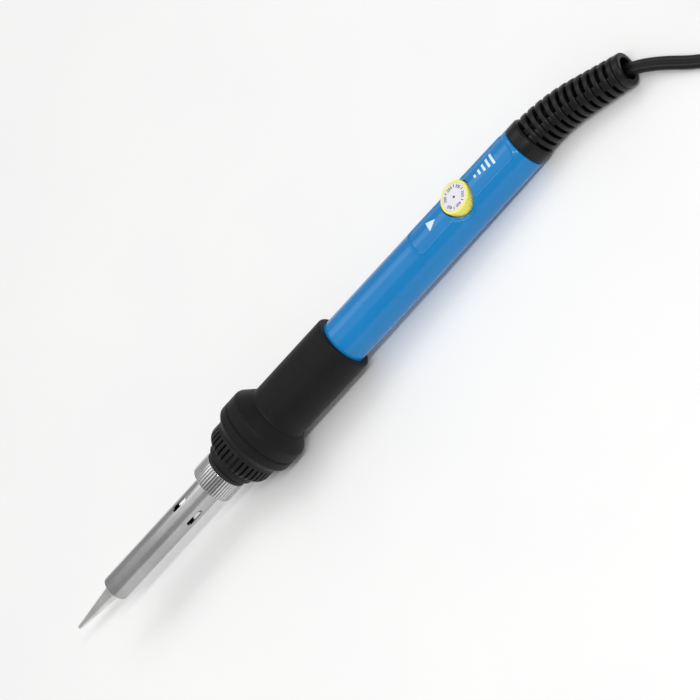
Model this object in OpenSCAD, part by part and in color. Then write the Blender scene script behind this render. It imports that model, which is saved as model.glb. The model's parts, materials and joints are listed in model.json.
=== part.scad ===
// Mains soldering iron with a turning heat dial, lying at rest with its lead coiled behind it.
// The iron is built along its own axis: x runs from the tip's point to the back, z points out of the dial.
// lay() then sets it down on its finger guard and its strain relief, with the ground at z = 0.

/* [Tip and sleeve] */
// Bare length of the tip in front of the sleeve
tip_reach = 21; // [16:0.5:26]
// Radius of the rounded point
tip_point_r = 0.65; // [0.4:0.05:0.9]
// Radius of the tip's cone where it leaves the sleeve
tip_cone_r = 2.95; // [2.4:0.05:3.1]
// Radius of the tip's shank
tip_shank_r = 3.25; // [2.9:0.05:4]
// Length of the shank inside the sleeve
tip_shank_length = 24; // [18:0.5:30]
// Outer radius of the steel sleeve
sleeve_r = 5; // [4.6:0.05:5.6]
// Wall of the steel sleeve
sleeve_wall = 0.5; // [0.4:0.05:0.8]
// Length of sleeve that shows in front of the nut
sleeve_reach = 54.5; // [45:0.5:66]
// Length of a vent slot
vent_length = 7.6; // [5:0.1:10]
// Width of a vent slot
vent_width = 1.9; // [1.4:0.1:2.4]
// Angle of the first vent slot, measured from the dial's side of the sleeve
vent_turn = -5; // [-45:1:45]

/* [Nut and nipple] */
// Outer radius of the knurled nut
nut_r = 8; // [7.6:0.05:9.6]
// Length of the nut
nut_length = 8; // [7:0.1:10]
// Teeth of the nut's straight knurl
nut_teeth = 56; // [40:2:72]
// Radius over the nipple's thread
thread_r = 6.7; // [6.5:0.05:6.9]
// Pitch of the thread
thread_pitch = 1; // [0.8:0.05:1.25]
// Thickness of the fibre ring behind the nut
ring_thickness = 1.4; // [1:0.1:1.8]

/* [Front collar and grip] */
// Radius of the collar's smooth neck
neck_r = 9.1; // [8.6:0.1:10]
// Radius of the collar's ribbed ring
ribbed_r = 12.25; // [11.4:0.05:12.8]
// Number of slots round the ribbed ring
rib_slots = 36; // [24:1:40]
// Radius of the finger guard
guard_r = 14.85; // [14:0.05:18]
// Radius of the grip's tube
grip_r = 10.7; // [10.3:0.05:12.5]
// Length of the grip's tube behind the guard
grip_length = 35; // [28:0.5:42]

/* [Handle] */
// Length of the handle shell
handle_length = 140; // [130:1:168]
// Radius of the handle under the grip
handle_r = 8.5; // [8.3:0.05:9.2]
// Radius of the handle at its back end
handle_end_r = 8; // [7.7:0.05:8.4]
// Radius of the shell's cavity
cavity_r = 6.3; // [6:0.05:6.5]
// Depth of the sunk panel round the dial
panel_depth = 0.45; // [0.3:0.05:0.6]
// Length of the sunk panel
panel_length = 46; // [38:0.5:56]

/* [Dial] */
// Radius of the dial
dial_r = 5.85; // [4.9:0.05:6.1]
// Height of the dial from its underside to its face
dial_height = 4.2; // [3.5:0.1:5]
// Teeth round the dial's edge
dial_teeth = 60; // [40:2:72]
// Radius of the potentiometer's shaft
shaft_r = 1.6; // [1.3:0.05:1.9]

/* [Strain relief] */
// Radius of the relief at the handle
relief_root_r = 7.9; // [7.6:0.05:8.4]
// Radius of the relief's last ring
relief_tip_r = 5.7; // [5.2:0.05:6.2]
// Number of rings
relief_rings = 12; // [8:1:14]
// Distance from one ring to the next
ring_pitch = 3.05; // [2.7:0.05:3.4]
// Angle through which the relief has bent
relief_bend = 19; // [8:1:22]

/* [Lead and plug] */
// Width of the twin lead
lead_width = 4.5; // [4.2:0.1:4.5]
// Thickness of the twin lead
lead_thickness = 2.4; // [2.2:0.1:2.5]
// Radius at the middle of the coil's outer turns
coil_outer_r = 26; // [25:0.1:26]
// Length of the plug's body
plug_length = 24; // [21:0.5:28]
// Length of a plug blade
blade_length = 16; // [15:0.5:18]

/* [Hidden] */
$fn = 96;
eps = 0.01;

// Clearances between pieces
slip = 0.05;
loose = 0.15;

// Places along the iron's axis, from the tip's point
sleeve_x = tip_reach;
nut_x = sleeve_x + sleeve_reach;
nut_end_x = nut_x + nut_length;
ring_x = nut_end_x + slip;
ring_end_x = ring_x + ring_thickness;
bare_nipple = 0.6;
collar_x = ring_end_x + bare_nipple;
neck_length = 2.9;
ribbed_x = collar_x + neck_length;
ribbed_length = 7.55;
ribbed_end_x = ribbed_x + ribbed_length;
guard_front_length = 6.5;
guard_back_length = 9;
groove_x = ribbed_end_x + guard_front_length;
guard_end_x = groove_x + guard_back_length;
grip_end_x = guard_end_x + grip_length;
handle_x = ribbed_end_x + 1;
handle_end_x = handle_x + handle_length;

// Sleeve, nut and nipple
lip_thickness = 0.6;
lip_bore_r = tip_cone_r + 0.1;
nut_lip = 1.3;
flange_x = nut_x + nut_lip + slip;
flange_thickness = 0.8;
flange_r = thread_r - 0.4;
socket_x = flange_x + flange_thickness + slip;
socket_flange = 1.2;
nipple_x = socket_x + socket_flange + slip;
nipple_r = thread_r - 0.15;
nipple_bore_r = 4.1;
nipple_seat = 12;
nipple_end_x = collar_x + nipple_seat;
thread_depth = 0.35;
vent_x = nut_x - 14.7;
// The sleeve's tail is turned down where it passes through the nut
tail_x = nut_x - 0.2;
tail_r = sleeve_r - 0.2;

// Tip and heater
tip_step_x = sleeve_x + lip_thickness + slip;
tip_end_x = tip_step_x + tip_shank_length;
tip_bore_r = 2.1;
tip_bore_x = tip_step_x + 2.5;
heater_r = tip_bore_r - loose;
heater_x = tip_bore_x + 1.5;
socket_r = 3.6;
socket_reach = 12.6;
socket_front_x = socket_x - socket_reach;
socket_tail = 6;
heater_end_x = socket_front_x + 6;

// Collar and its seat in the handle
spigot_length = 11;
spigot_r = cavity_r + 0.8;
spigot_end_x = ribbed_end_x + spigot_length;
bore_end_x = spigot_end_x + 0.5;
slot_width = 0.8;
slot_floor_r = ribbed_r - 1.6;
collar_screw_x = ribbed_end_x + 6;
screw_r = 1.1;
screw_head_r = 1.9;
screw_head = 0.9;

// Handle, panel and dial well
shell_back_wall = 2.6;
back_wall_x = handle_end_x - shell_back_wall;
panel_half_angle = 36;
panel_end_x = handle_end_x - 1.6;
panel_x = panel_end_x - panel_length;
dial_x = handle_end_x - 26;
well_r = dial_r + 0.45;
dial_top_z = handle_r;
dial_foot_z = dial_top_z - dial_height;
well_floor_z = dial_foot_z - 0.3;
well_floor = 1;
well_wall = 0.9;
plate_thickness = 0.3;
plate_r = dial_r - 1;

// Circuit board and what stands on it
board_thickness = 1.2;
board_top_z = -1.6;
board_half_width = 5.6;
board_x = dial_x - 54;
board_end_x = dial_x + 12;
rail_gap = 0.12;
rail_height = 0.8;
pot_half = 4.7;
pot_foot_z = board_top_z + 0.3;
pot_top_z = well_floor_z - well_floor - 0.1;
lead_wire_r = 0.55;

// Clip on the lead
clip_x = back_wall_x - 4.9;
clip_length = 2.6;

// Strain relief
relief_x = handle_end_x + slip;
relief_collar = 5;
relief_bend_length = 20;
relief_bore_r = 3.6;
relief_neck_r = 4.6;
relief_anchor_r = cavity_r - 0.2;
relief_anchor = 2;
ring_width = 1.9;
end_ring_width = 2.7;
web_width = 3.2;
relief_length = relief_collar + relief_rings * ring_pitch + end_ring_width;

// How the iron lies
guard_rest_x = groove_x + 3.8;
relief_rest_x = relief_x + relief_collar - 0.8;
rest_tilt = atan2(guard_r - relief_root_r, relief_rest_x - guard_rest_x);
axis_lift = guard_rest_x * sin(rest_tilt) + guard_r * cos(rest_tilt);
origin_x = 140.7;

// Lead, coil and plug, in the frame in which the iron lies
coil_x = 206;
coil_y = -13.3;
coil_foot_z = 0.4;
coil_column_step = 4.8;
coil_layer_step = 2.5;
coil_layers = 4;
coil_inner_r = coil_outer_r - coil_column_step;
coil_height = coil_layers * coil_layer_step;
coil_top_z = coil_foot_z + coil_height;
tie_thickness = 0.35;
tie_width = 9;
tie_angle = 215;
plug_width = 22;
plug_thickness = 13;
plug_relief_length = 12;
plug_y = 2.7;
plug_relief_x = 230;
plug_z = coil_top_z + slip + plug_thickness / 2;
blade_spacing = 12.7;
blade_width = 6.35;
blade_thickness = 1.5;
blade_root = 5;

// Route of the lead from the clip inside the handle, through the strain relief, to the coil's outer side
lead_route = [
    [88.2, 0, 8.5], [91, 0, 8.4], [96, 0, 8.1], [101, 0, 7.8], [106.5, -0.3, 7.6], [112, -1, 7.3],
    [117.3, -2.2, 7], [122.5, -3.9, 6.7], [127.7, -5.7, 6.5], [132.9, -7.5, 6.2], [138, -9.5, 5.7],
    [142.2, -12.1, 5], [146.2, -15.3, 4.2], [150.2, -19.1, 3.3], [154.3, -23.4, 2.5], [158.7, -27.4, 1.8],
    [163.5, -31.1, 1.4], [168.7, -34.2, 1.3], [174, -36.8, 1.3], [179.5, -38.9, 1.3], [185, -40.5, 1.3],
    [190.6, -41.7, 1.3], [196.2, -42.7, 1.3], [201.75, -43.55, 1.3]];
// Route of the lead from the coil's side, down to the ground, round and up to the plug on the coil
tail_route = [
    [222.5, -39.3, 7.3], [228, -39.3, 5.6], [233.5, -39.3, 3.9], [238.4, -38.6, 2.6], [243.5, -36.5, 1.9],
    [247.8, -33.1, 1.8], [251.2, -28.8, 2.3], [253.3, -23.7, 3.5], [254, -18.3, 5.1], [253.3, -12.9, 7.1],
    [251.2, -7.8, 9.4], [247.8, -3.5, 11.7], [243.5, -0.1, 13.9], [238.4, 2, 15.6], [233, 2.7, 16.7],
    [230.05, 2.7, 16.95]];

// Points of an arc in a profile, from angle a to angle b
function arc(centre, r, a, b, steps = 6) =
    [for (i = [0:steps]) centre + r * [cos(a + (b - a) * i / steps), sin(a + (b - a) * i / steps)]];

// Radius of the handle shell at a place along the axis
function shell_r(x) =
    let (u = max(0, (x - grip_end_x) / (handle_end_x - grip_end_x)))
    handle_r - (handle_r - handle_end_r) * u * u;

// Outline of the shell's outside between two places, moved in by sink
function shell_line(from, to, sink = 0, steps = 12) =
    [for (i = [0:steps]) let (x = from + (to - from) * i / steps) [shell_r(x) - sink, x]];

// Point, heading and radius of the strain relief at a distance from the handle
function relief_turn(d) = relief_bend * min(1, max(0, (d - relief_collar) / relief_bend_length));
relief_arc_r = relief_bend_length / (relief_bend * PI / 180);
function relief_point(d) =
    let (turn = relief_turn(d), past = max(0, d - relief_collar - relief_bend_length))
    d <= relief_collar ? [relief_x + d, 0] :
    [relief_x + relief_collar + relief_arc_r * sin(turn) + past * cos(turn),
        -relief_arc_r * (1 - cos(turn)) - past * sin(turn)];
function relief_r(d) =
    relief_root_r - 0.5 - (relief_root_r - 0.5 - relief_tip_r) * (d - relief_collar) / (relief_length - relief_collar);

// Turns a profile of [radius, x] points round the iron's axis
module turned(points) {
    rotate([0, 90, 0]) rotate_extrude() polygon(points);
}

// Cylinder along the iron's axis between two places
module rod(from, to, r) {
    translate([from, 0, 0]) rotate([0, 90, 0]) cylinder(h = to - from, r = r);
}

// Straight round bar between two points
module bar(a, b, r) {
    d = b - a;
    translate(a) rotate([0, acos(d[2] / norm(d)), atan2(d[1], d[0])]) cylinder(h = norm(d), r = r, $fn = 24);
}

// Tube of so many sides swept along a list of points, its width kept level
module swept(points, width, thickness, sides) {
    n = len(points);
    function heading(i) =
        let (d = points[min(n - 1, i + 1)] - points[max(0, i - 1)]) d / norm(d);
    function ring(i) =
        let (t = heading(i), across = cross([0, 0, 1], t) / norm(cross([0, 0, 1], t)), up = cross(t, across))
        [for (k = [0:sides - 1]) let (a = 360 * (k + 0.5) / sides)
            points[i] + across * cos(a) * width / 2 + up * sin(a) * thickness / 2];
    polyhedron(
        points = [for (i = [0:n - 1]) each ring(i)],
        faces = concat(
            [[for (k = [0:sides - 1]) k]],
            [for (i = [0:n - 2], k = [0:sides - 1]) let (a = i * sides + k, b = i * sides + (k + 1) % sides)
                each [[a, a + sides, b], [b, a + sides, b + sides]]],
            [[for (k = [0:sides - 1]) (n - 1) * sides + sides - 1 - k]]));
}

// Round wire through a list of points
module wire(points, r) {
    swept(points, 2 * r, 2 * r, 8);
}

// Straight-knurled outline with a tooth point and a tooth root per tooth
module knurled(r, depth, teeth) {
    polygon([for (i = [0:2 * teeth - 1])
        let (a = 180 * i / teeth, rr = r - (i % 2) * depth) [rr * cos(a), rr * sin(a)]]);
}

// Sets the iron down on the ground
module lay() {
    translate([-origin_x, 0, axis_lift]) rotate([0, rest_tilt, 0]) children();
}

// Places children on the strain relief at a distance from the handle, with x along it
module on_relief(d) {
    p = relief_point(d);
    translate([p[0], p[1], 0]) rotate([0, 0, -relief_turn(d)]) children();
}

module tip() color("silver") lay() difference() {
    turned(concat(
        [[0, 0]],
        arc([0, tip_point_r], tip_point_r, -60, -10, 4),
        [[tip_cone_r, tip_step_x], [tip_shank_r - 0.2, tip_step_x], [tip_shank_r, tip_step_x + 0.2],
            [tip_shank_r, tip_end_x - 0.3], [tip_shank_r - 0.3, tip_end_x], [0, tip_end_x]]));
    rod(tip_bore_x, tip_end_x + 1, tip_bore_r);
}

module tip_sleeve() color("lightgray") lay() difference() {
    turned(concat(
        [[lip_bore_r, sleeve_x]],
        arc([sleeve_r - 0.7, sleeve_x + 0.7], 0.7, -90, 0, 5),
        [[sleeve_r, tail_x], [tail_r, tail_x], [tail_r, flange_x], [flange_r, flange_x],
            [flange_r, flange_x + flange_thickness],
            [sleeve_r - sleeve_wall, flange_x + flange_thickness],
            [sleeve_r - sleeve_wall, sleeve_x + lip_thickness + 0.4],
            [sleeve_r - sleeve_wall - 0.4, sleeve_x + lip_thickness], [lip_bore_r, sleeve_x + lip_thickness]]));
    for (quarter = [0:3]) rotate([vent_turn + 90 * quarter, 0, 0]) translate([vent_x, 0, sleeve_r / 2]) {
        reach = vent_length - vent_width;
        cylinder(h = sleeve_r, d = vent_width);
        translate([reach, 0, 0]) cylinder(h = sleeve_r, d = vent_width);
        translate([0, -vent_width / 2, 0]) cube([reach, vent_width, sleeve_r]);
    }
}

module clamp_nut() color("gainsboro") lay() difference() {
    intersection() {
        translate([nut_x, 0, 0]) rotate([0, 90, 0]) linear_extrude(nut_length) knurled(nut_r, 0.3, nut_teeth);
        turned([[0, nut_x], [nut_r - 0.5, nut_x], [nut_r + 0.1, nut_x + 0.6],
            [nut_r + 0.1, nut_end_x - 0.6], [nut_r - 0.5, nut_end_x], [0, nut_end_x]]);
    }
    rod(nut_x - 1, nut_end_x + 1, sleeve_r + loose);
    rod(nut_x + nut_lip, nut_end_x + 1, thread_r + slip);
}

module lock_ring() color("black") lay() {
    inner = thread_r + slip;
    outer = nut_r - 0.25;
    turned(concat([[inner, ring_x]], arc([outer - 0.3, ring_x + 0.3], 0.3, -90, 0, 3),
        arc([outer - 0.3, ring_end_x - 0.3], 0.3, 0, 90, 3), [[inner, ring_end_x]]));
}

module heater_rod() color("whitesmoke") lay() turned([
    [0, heater_x], [heater_r - 0.3, heater_x], [heater_r, heater_x + 0.3],
    [heater_r, heater_end_x], [0, heater_end_x]]);

module heater_socket() color("white") lay() difference() {
    turned([[0, socket_front_x], [socket_r - 0.3, socket_front_x], [socket_r, socket_front_x + 0.3],
        [socket_r, socket_x], [flange_r - 0.1, socket_x], [flange_r - 0.1, socket_x + socket_flange],
        [nipple_bore_r - 0.3, socket_x + socket_flange], [nipple_bore_r - 0.3, socket_x + socket_tail],
        [0, socket_x + socket_tail]]);
    rod(socket_front_x - 1, heater_end_x + slip, heater_r + slip);
    for (side = [-1, 1]) translate([0, side * 1.7, 0]) rod(heater_end_x + 2, socket_x + socket_tail + 1, lead_wire_r + slip);
}

module threaded_nipple() color("silver") lay() {
    threads = floor((nut_end_x - nipple_x + 0.4) / thread_pitch);
    thread_end_x = nipple_x + 0.3 + threads * thread_pitch;
    turned(concat(
        [[nipple_bore_r, nipple_x], [thread_r - thread_depth, nipple_x]],
        [for (i = [0:threads - 1], k = [0:1])
            [thread_r - (1 - k) * thread_depth, nipple_x + 0.3 + (i + k / 2) * thread_pitch]],
        [[thread_r - thread_depth, thread_end_x], [nipple_r, thread_end_x + 0.2], [nipple_r, nipple_end_x],
            [nipple_bore_r, nipple_end_x]]));
}

module front_collar() color("black") lay() difference() {
    turned(concat(
        [[nipple_r + slip, collar_x]],
        arc([neck_r - 1.8, collar_x + 1.8], 1.8, -90, 0),
        [[neck_r, ribbed_x - 0.2], [neck_r - 0.4, ribbed_x], [neck_r - 0.1, ribbed_x + 0.1]],
        arc([ribbed_r - 3.2, ribbed_x + 3.4], 3.2, -80, 0, 8),
        [[ribbed_r, ribbed_end_x - 0.2], [ribbed_r - 0.2, ribbed_end_x], [spigot_r - slip, ribbed_end_x],
            [spigot_r - slip, spigot_end_x - 0.4], [spigot_r - 0.4, spigot_end_x],
            [nipple_bore_r + 0.4, spigot_end_x], [nipple_bore_r + 0.4, nipple_end_x + slip],
            [nipple_r + slip, nipple_end_x + slip]]));
    for (i = [0:rib_slots - 1]) rotate([(i + 0.5) * 360 / rib_slots, 0, 0])
        translate([ribbed_x + 0.5, -slot_width / 2, slot_floor_r])
        cube([ribbed_length - 1.4, slot_width, ribbed_r]);
    for (side = [0, 180]) rotate([side + 90, 0, 0]) translate([collar_screw_x, 0, spigot_r - 2])
        cylinder(h = spigot_r, r = screw_r + slip);
}

module collar_screws() color("dimgray") lay() for (side = [0, 180]) rotate([side + 90, 0, 0])
    translate([collar_screw_x, 0, 0]) difference() {
        union() {
            translate([0, 0, spigot_r - 1.95]) cylinder(h = handle_r - spigot_r + 1.5, r = screw_r);
            translate([0, 0, handle_r - 0.3 - screw_head]) cylinder(h = screw_head, r = screw_head_r);
        }
        translate([0, 0, handle_r - 0.3]) for (turn = [0, 90]) rotate([0, 0, turn]) cube([2.4, 0.5, 1], center = true);
    }

module rubber_grip() color([0.09, 0.09, 0.1]) lay() {
    bore = handle_r + 0.03;
    flat = guard_r;
    turned(concat(
        [[bore, ribbed_end_x + slip], [ribbed_r + 0.05, ribbed_end_x + slip], [ribbed_r + 0.2, ribbed_end_x + 0.2]],
        arc([flat - 1.2, ribbed_end_x + 3.9], 1.2, -40, 0, 3),
        [[flat, groove_x - 0.5], [flat - 0.5, groove_x], [flat, groove_x + 0.5]],
        arc([flat - 1.4, groove_x + 3.6], 1.4, 0, 50, 4),
        [[grip_r + 0.7, guard_end_x - 0.2], [grip_r + 0.2, guard_end_x + 0.2], [grip_r, guard_end_x + 1]],
        arc([grip_r - 0.8, grip_end_x - 0.8], 0.8, 0, 90, 4),
        [[bore, grip_end_x]]));
}

// Block inside the shell that carries the dial's round well
module well_block() intersection() {
    translate([dial_x, 0, well_floor_z - well_floor]) cylinder(h = handle_r, r = well_r + well_wall);
    turned(concat([[0, handle_x]], shell_line(handle_x, handle_end_x, 0.3), [[0, handle_end_x]]));
}

// The sunk panel round the dial, as the piece that is cut away
module panel_cut() intersection() {
    turned(concat(shell_line(panel_x, panel_end_x, panel_depth), [[handle_r + 3, panel_end_x], [handle_r + 3, panel_x]]));
    union() {
        translate([panel_x, 0, 0]) rotate([90, 0, 90]) linear_extrude(panel_length)
            polygon([[0, 0], 20 * [-sin(panel_half_angle), cos(panel_half_angle)],
                20 * [sin(panel_half_angle), cos(panel_half_angle)]]);
        translate([dial_x, 0, 0]) cylinder(h = 20, r = well_r + 0.8);
    }
}

module handle_shell() color([0.05, 0.45, 0.78]) lay() difference() {
    union() {
        difference() {
            turned(concat(
                [[spigot_r, handle_x], [handle_r - 0.3, handle_x], [handle_r, handle_x + 0.3]],
                shell_line(grip_end_x, handle_end_x - 0.3),
                [[handle_end_r - 0.3, handle_end_x], [relief_neck_r + slip, handle_end_x],
                    [relief_neck_r + slip, back_wall_x], [cavity_r, back_wall_x], [cavity_r, bore_end_x],
                    [spigot_r, bore_end_x]]));
            panel_cut();
        }
        well_block();
        for (side = [-1, 1], z = [board_top_z + rail_gap, board_top_z - board_thickness - rail_gap - rail_height])
            translate([board_x, side > 0 ? board_half_width - 0.7 : -cavity_r - 0.5, z])
            cube([board_end_x - board_x, cavity_r + 0.5 - board_half_width + 0.7, rail_height]);
    }
    translate([dial_x, 0, well_floor_z]) cylinder(h = handle_r, r = well_r);
    translate([dial_x, 0, 0]) cylinder(h = handle_r, r = shaft_r + 0.4);
    translate([dial_x - pot_half - loose, -pot_half - loose, board_top_z])
        cube([2 * (pot_half + loose), 2 * (pot_half + loose), pot_top_z + slip - board_top_z]);
    for (side = [0, 180]) rotate([side + 90, 0, 0]) translate([collar_screw_x, 0, 0]) {
        translate([0, 0, spigot_r - 1]) cylinder(h = handle_r, r = screw_r + loose);
        translate([0, 0, handle_r - 0.3 - slip - screw_head]) cylinder(h = handle_r, r = screw_head_r + slip);
    }
}

module dial_knob() color([0.93, 0.86, 0.3]) lay() translate([dial_x, 0, 0]) difference() {
    intersection() {
        translate([0, 0, dial_foot_z]) linear_extrude(dial_height) knurled(dial_r, 0.18, dial_teeth);
        rotate_extrude() polygon(concat(
            [[0, dial_foot_z], [dial_r + 0.1, dial_foot_z]],
            arc([dial_r - 0.7, dial_top_z - 0.8], 0.8, 0, 90, 5),
            [[0, dial_top_z]]));
    }
    translate([0, 0, dial_top_z - plate_thickness]) cylinder(h = 1, r = plate_r + slip);
    translate([0, 0, dial_foot_z - 1]) cylinder(h = dial_height + 1 - plate_thickness - 0.6, r = shaft_r + slip);
}

module dial_plate() color("gainsboro") lay() translate([dial_x, 0, dial_top_z - plate_thickness])
    cylinder(h = plate_thickness - slip, r = plate_r);

module pot_shaft() color("ivory") lay() translate([dial_x, 0, 0]) {
    top = dial_top_z - plate_thickness - 0.7;
    translate([0, 0, pot_top_z - 0.9]) cylinder(h = top - pot_top_z + 0.9, r = shaft_r);
}

module pot_body() color([0.13, 0.3, 0.55]) lay() translate([dial_x, 0, 0]) difference() {
    translate([-pot_half, -pot_half, pot_foot_z]) cube([2 * pot_half, 2 * pot_half, pot_top_z - pot_foot_z]);
    translate([0, 0, pot_top_z - 1]) cylinder(h = 2, r = shaft_r + slip);
}

module pot_pins() color("silver") lay() for (y = [-2.5, 0, 2.5])
    translate([dial_x - pot_half + 0.8, y - 0.3, board_top_z - board_thickness - 0.8])
    cube([0.5, 0.6, pot_foot_z - board_top_z + board_thickness + 0.8]);

// Holes in the board for the legs of what stands on it
module leg_hole(x, y) {
    translate([x, y, board_top_z - board_thickness - 1]) cylinder(h = board_thickness + 2, r = 0.5, $fn = 24);
}

triac_x = board_x + 18;
diac_x = board_x + 11;
capacitor_x = dial_x - 13;
diode_x = board_x + 5.5;
resistor_places = [[dial_x - 26.5, -2.6], [dial_x - 26.5, 2.6]];

module circuit_board() color([0.1, 0.42, 0.22]) lay() difference() {
    translate([board_x, -board_half_width, board_top_z - board_thickness])
        cube([board_end_x - board_x, 2 * board_half_width, board_thickness]);
    for (y = [-2.5, 0, 2.5]) leg_hole(dial_x - pot_half + 1.05, y);
    for (y = [-1.27, 0, 1.27]) leg_hole(triac_x, y);
    for (x = [-3.5, 3.5]) leg_hole(capacitor_x + x, 0);
    for (p = resistor_places, x = [-4.2, 4.2]) leg_hole(p[0] + x, p[1]);
    for (y = [-3.2, 3.2]) leg_hole(diac_x, y);
    for (y = [-4, 4]) leg_hole(diode_x, y);
}

// Leg through the board, up to a height above it
module leg(x, y, top) {
    translate([x, y, board_top_z - board_thickness - 0.8])
        cylinder(h = top - board_top_z + board_thickness + 0.8, r = 0.3, $fn = 24);
}

module triac() color([0.12, 0.12, 0.13]) lay() {
    foot = board_top_z + 1.4;
    translate([triac_x, 0, foot]) intersection() {
        cylinder(h = 4.4, r = 2.4);
        translate([-1.4, -3, 0]) cube([4, 6, 5]);
    }
    for (y = [-1.27, 0, 1.27]) leg(triac_x, y, foot);
}

module film_capacitor() color([0.75, 0.2, 0.12]) lay() {
    foot = board_top_z + 0.3;
    translate([capacitor_x - 5, -2.4, foot]) cube([10, 4.8, 5.2]);
    for (x = [-3.5, 3.5]) leg(capacitor_x + x, 0, foot);
}

// Small round part lying on the board with a leg at each end
module axial_part(x, y, length, r, span, across) {
    z = board_top_z + r + 0.3;
    ends = across ? [[x, y - span, z], [x, y + span, z]] : [[x - span, y, z], [x + span, y, z]];
    middle = across ? [[x, y - length / 2, z], [x, y + length / 2, z]] : [[x - length / 2, y, z], [x + length / 2, y, z]];
    bar(middle[0], middle[1], r);
    for (i = [0, 1]) {
        bar(ends[i], middle[i], 0.3);
        translate(ends[i]) sphere(r = 0.3, $fn = 24);
        leg(ends[i][0], ends[i][1], z);
    }
}

module diac() color([0.2, 0.4, 0.75]) lay() axial_part(diac_x, 0, 3.8, 0.9, 3.2, true);

module resistors() color([0.8, 0.7, 0.5]) lay()
    for (p = resistor_places) axial_part(p[0], p[1], 5.6, 1.1, 4.2, false);

module rectifier_diode() color([0.15, 0.15, 0.16]) lay() axial_part(diode_x, 0, 4.6, 1.2, 4, true);

module heater_leads() color("white") lay() for (side = [-1, 1]) wire([
    [heater_end_x + 2.1, side * 1.7, 0], [socket_x + socket_tail + 4, side * 1.7, 0],
    [nipple_end_x + 6, side * 2.4, 0.6], [(nipple_end_x + board_x) / 2, side * 2.6, 1.4],
    [board_x - 3, side * 3, 0.2], [board_x + 1.5, side * 3.2, board_top_z + lead_wire_r + slip]], lead_wire_r);

module mains_leads() color([0.45, 0.28, 0.16]) lay() for (side = [-1, 1]) wire([
    [back_wall_x - 5.3, side * 1.35, 0], [back_wall_x - 7, side * 1.6, 0],
    [board_end_x + 1.5, side * 2.4, 0],
    [board_end_x - 2, side * 3, board_top_z + lead_wire_r + slip]], lead_wire_r);

// Clip that grips the lead inside the shell's back end
module cord_clip() color([0.85, 0.85, 0.82]) lay() difference() {
    intersection() {
        rod(clip_x, clip_x + clip_length, cavity_r - 0.2);
        translate([clip_x - 1, -5.4, -3.2]) cube([clip_length + 2, 10.8, 6.2]);
    }
    translate([clip_x - 1, -lead_width / 2 - slip, -lead_thickness / 2 - slip])
        cube([clip_length + 2, lead_width + 2 * slip, lead_thickness + 2 * slip]);
    for (y = [-4, 4]) translate([clip_x + clip_length / 2, y, -4]) cylinder(h = 8, r = 0.75);
}

module clip_screw() color("silver") lay() for (y = [-4, 4]) translate([clip_x + clip_length / 2, y, 0]) {
    translate([0, 0, -2.8]) cylinder(h = 5.8, r = 0.7);
    translate([0, 0, 3]) cylinder(h = 0.7, r = 1.1);
}

module strain_relief() color([0.08, 0.08, 0.08]) lay() {
    // Collar against the handle, with its neck and anchor inside the shell
    difference() {
        turned(concat(
            [[relief_bore_r, back_wall_x - relief_anchor - slip], [relief_anchor_r, back_wall_x - relief_anchor - slip],
                [relief_anchor_r, back_wall_x - slip], [relief_neck_r, back_wall_x - slip],
                [relief_neck_r, relief_x], [relief_root_r - 0.4, relief_x], [relief_root_r, relief_x + 0.4]],
            [[relief_root_r, relief_rest_x], [relief_root_r - 0.5, relief_x + relief_collar],
                [relief_bore_r, relief_x + relief_collar]]));
    }
    // Rings along the bend
    for (i = [1:relief_rings]) on_relief(relief_collar + i * ring_pitch - ring_width / 2)
        difference() {
            rod(-ring_width / 2, ring_width / 2, relief_r(relief_collar + i * ring_pitch));
            rod(-ring_width, ring_width, relief_bore_r);
        }
    // Four webs that join each ring to the next
    for (i = [0:relief_rings]) on_relief(relief_collar + (i + 0.19) * ring_pitch)
        for (turn = [45:90:315]) rotate([turn, 0, 0]) {
            depth = relief_r(relief_collar + i * ring_pitch) - relief_bore_r - 1.2;
            translate([-1.3, -web_width / 2, relief_bore_r + 0.3]) cube([2.6, web_width, depth]);
        }
    // Wide last ring
    on_relief(relief_length - end_ring_width / 2) difference() {
        rod(-end_ring_width / 2, end_ring_width / 2, relief_tip_r);
        rod(-end_ring_width, end_ring_width, relief_bore_r + 0.3);
    }
}

module cord_lead() color("black") swept(lead_route, lead_width, lead_thickness, 10);

module cord_tail() color("black") swept(tail_route, lead_width, lead_thickness, 10);

module cord_coil() color("black") translate([coil_x, coil_y, coil_foot_z]) rotate_extrude()
    translate([coil_inner_r - lead_width / 2, 0])
    square([coil_column_step + lead_width, coil_height - 0.05]);

module coil_tie() color([0.15, 0.15, 0.16]) translate([coil_x, coil_y, 0]) rotate([0, 0, tie_angle]) {
    // The strap's inner wall is straight, so it stands clear of the curve of the coil's inside at its two edges
    inner = sqrt(pow(coil_inner_r - lead_width / 2, 2) - pow(tie_width / 2, 2)) - loose;
    outer = coil_outer_r + lead_width / 2 + loose;
    difference() {
        translate([inner - tie_thickness, -tie_width / 2, slip])
            cube([outer - inner + 2 * tie_thickness, tie_width, coil_top_z + tie_thickness]);
        translate([inner, -tie_width, coil_foot_z - slip])
            cube([outer - inner, 2 * tie_width, coil_height + slip]);
    }
}

// Places children on the plug's axis, with x from the lead to the blades
module on_plug() {
    translate([plug_relief_x, plug_y, plug_z]) rotate([0, 0, 180]) children();
}

module plug_relief() color([0.1, 0.1, 0.1]) on_plug() turned([
    [0, slip], [2.9, slip], [4.3, plug_relief_length - 0.5], [4.3, plug_relief_length - slip],
    [0, plug_relief_length - slip]]);

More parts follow.
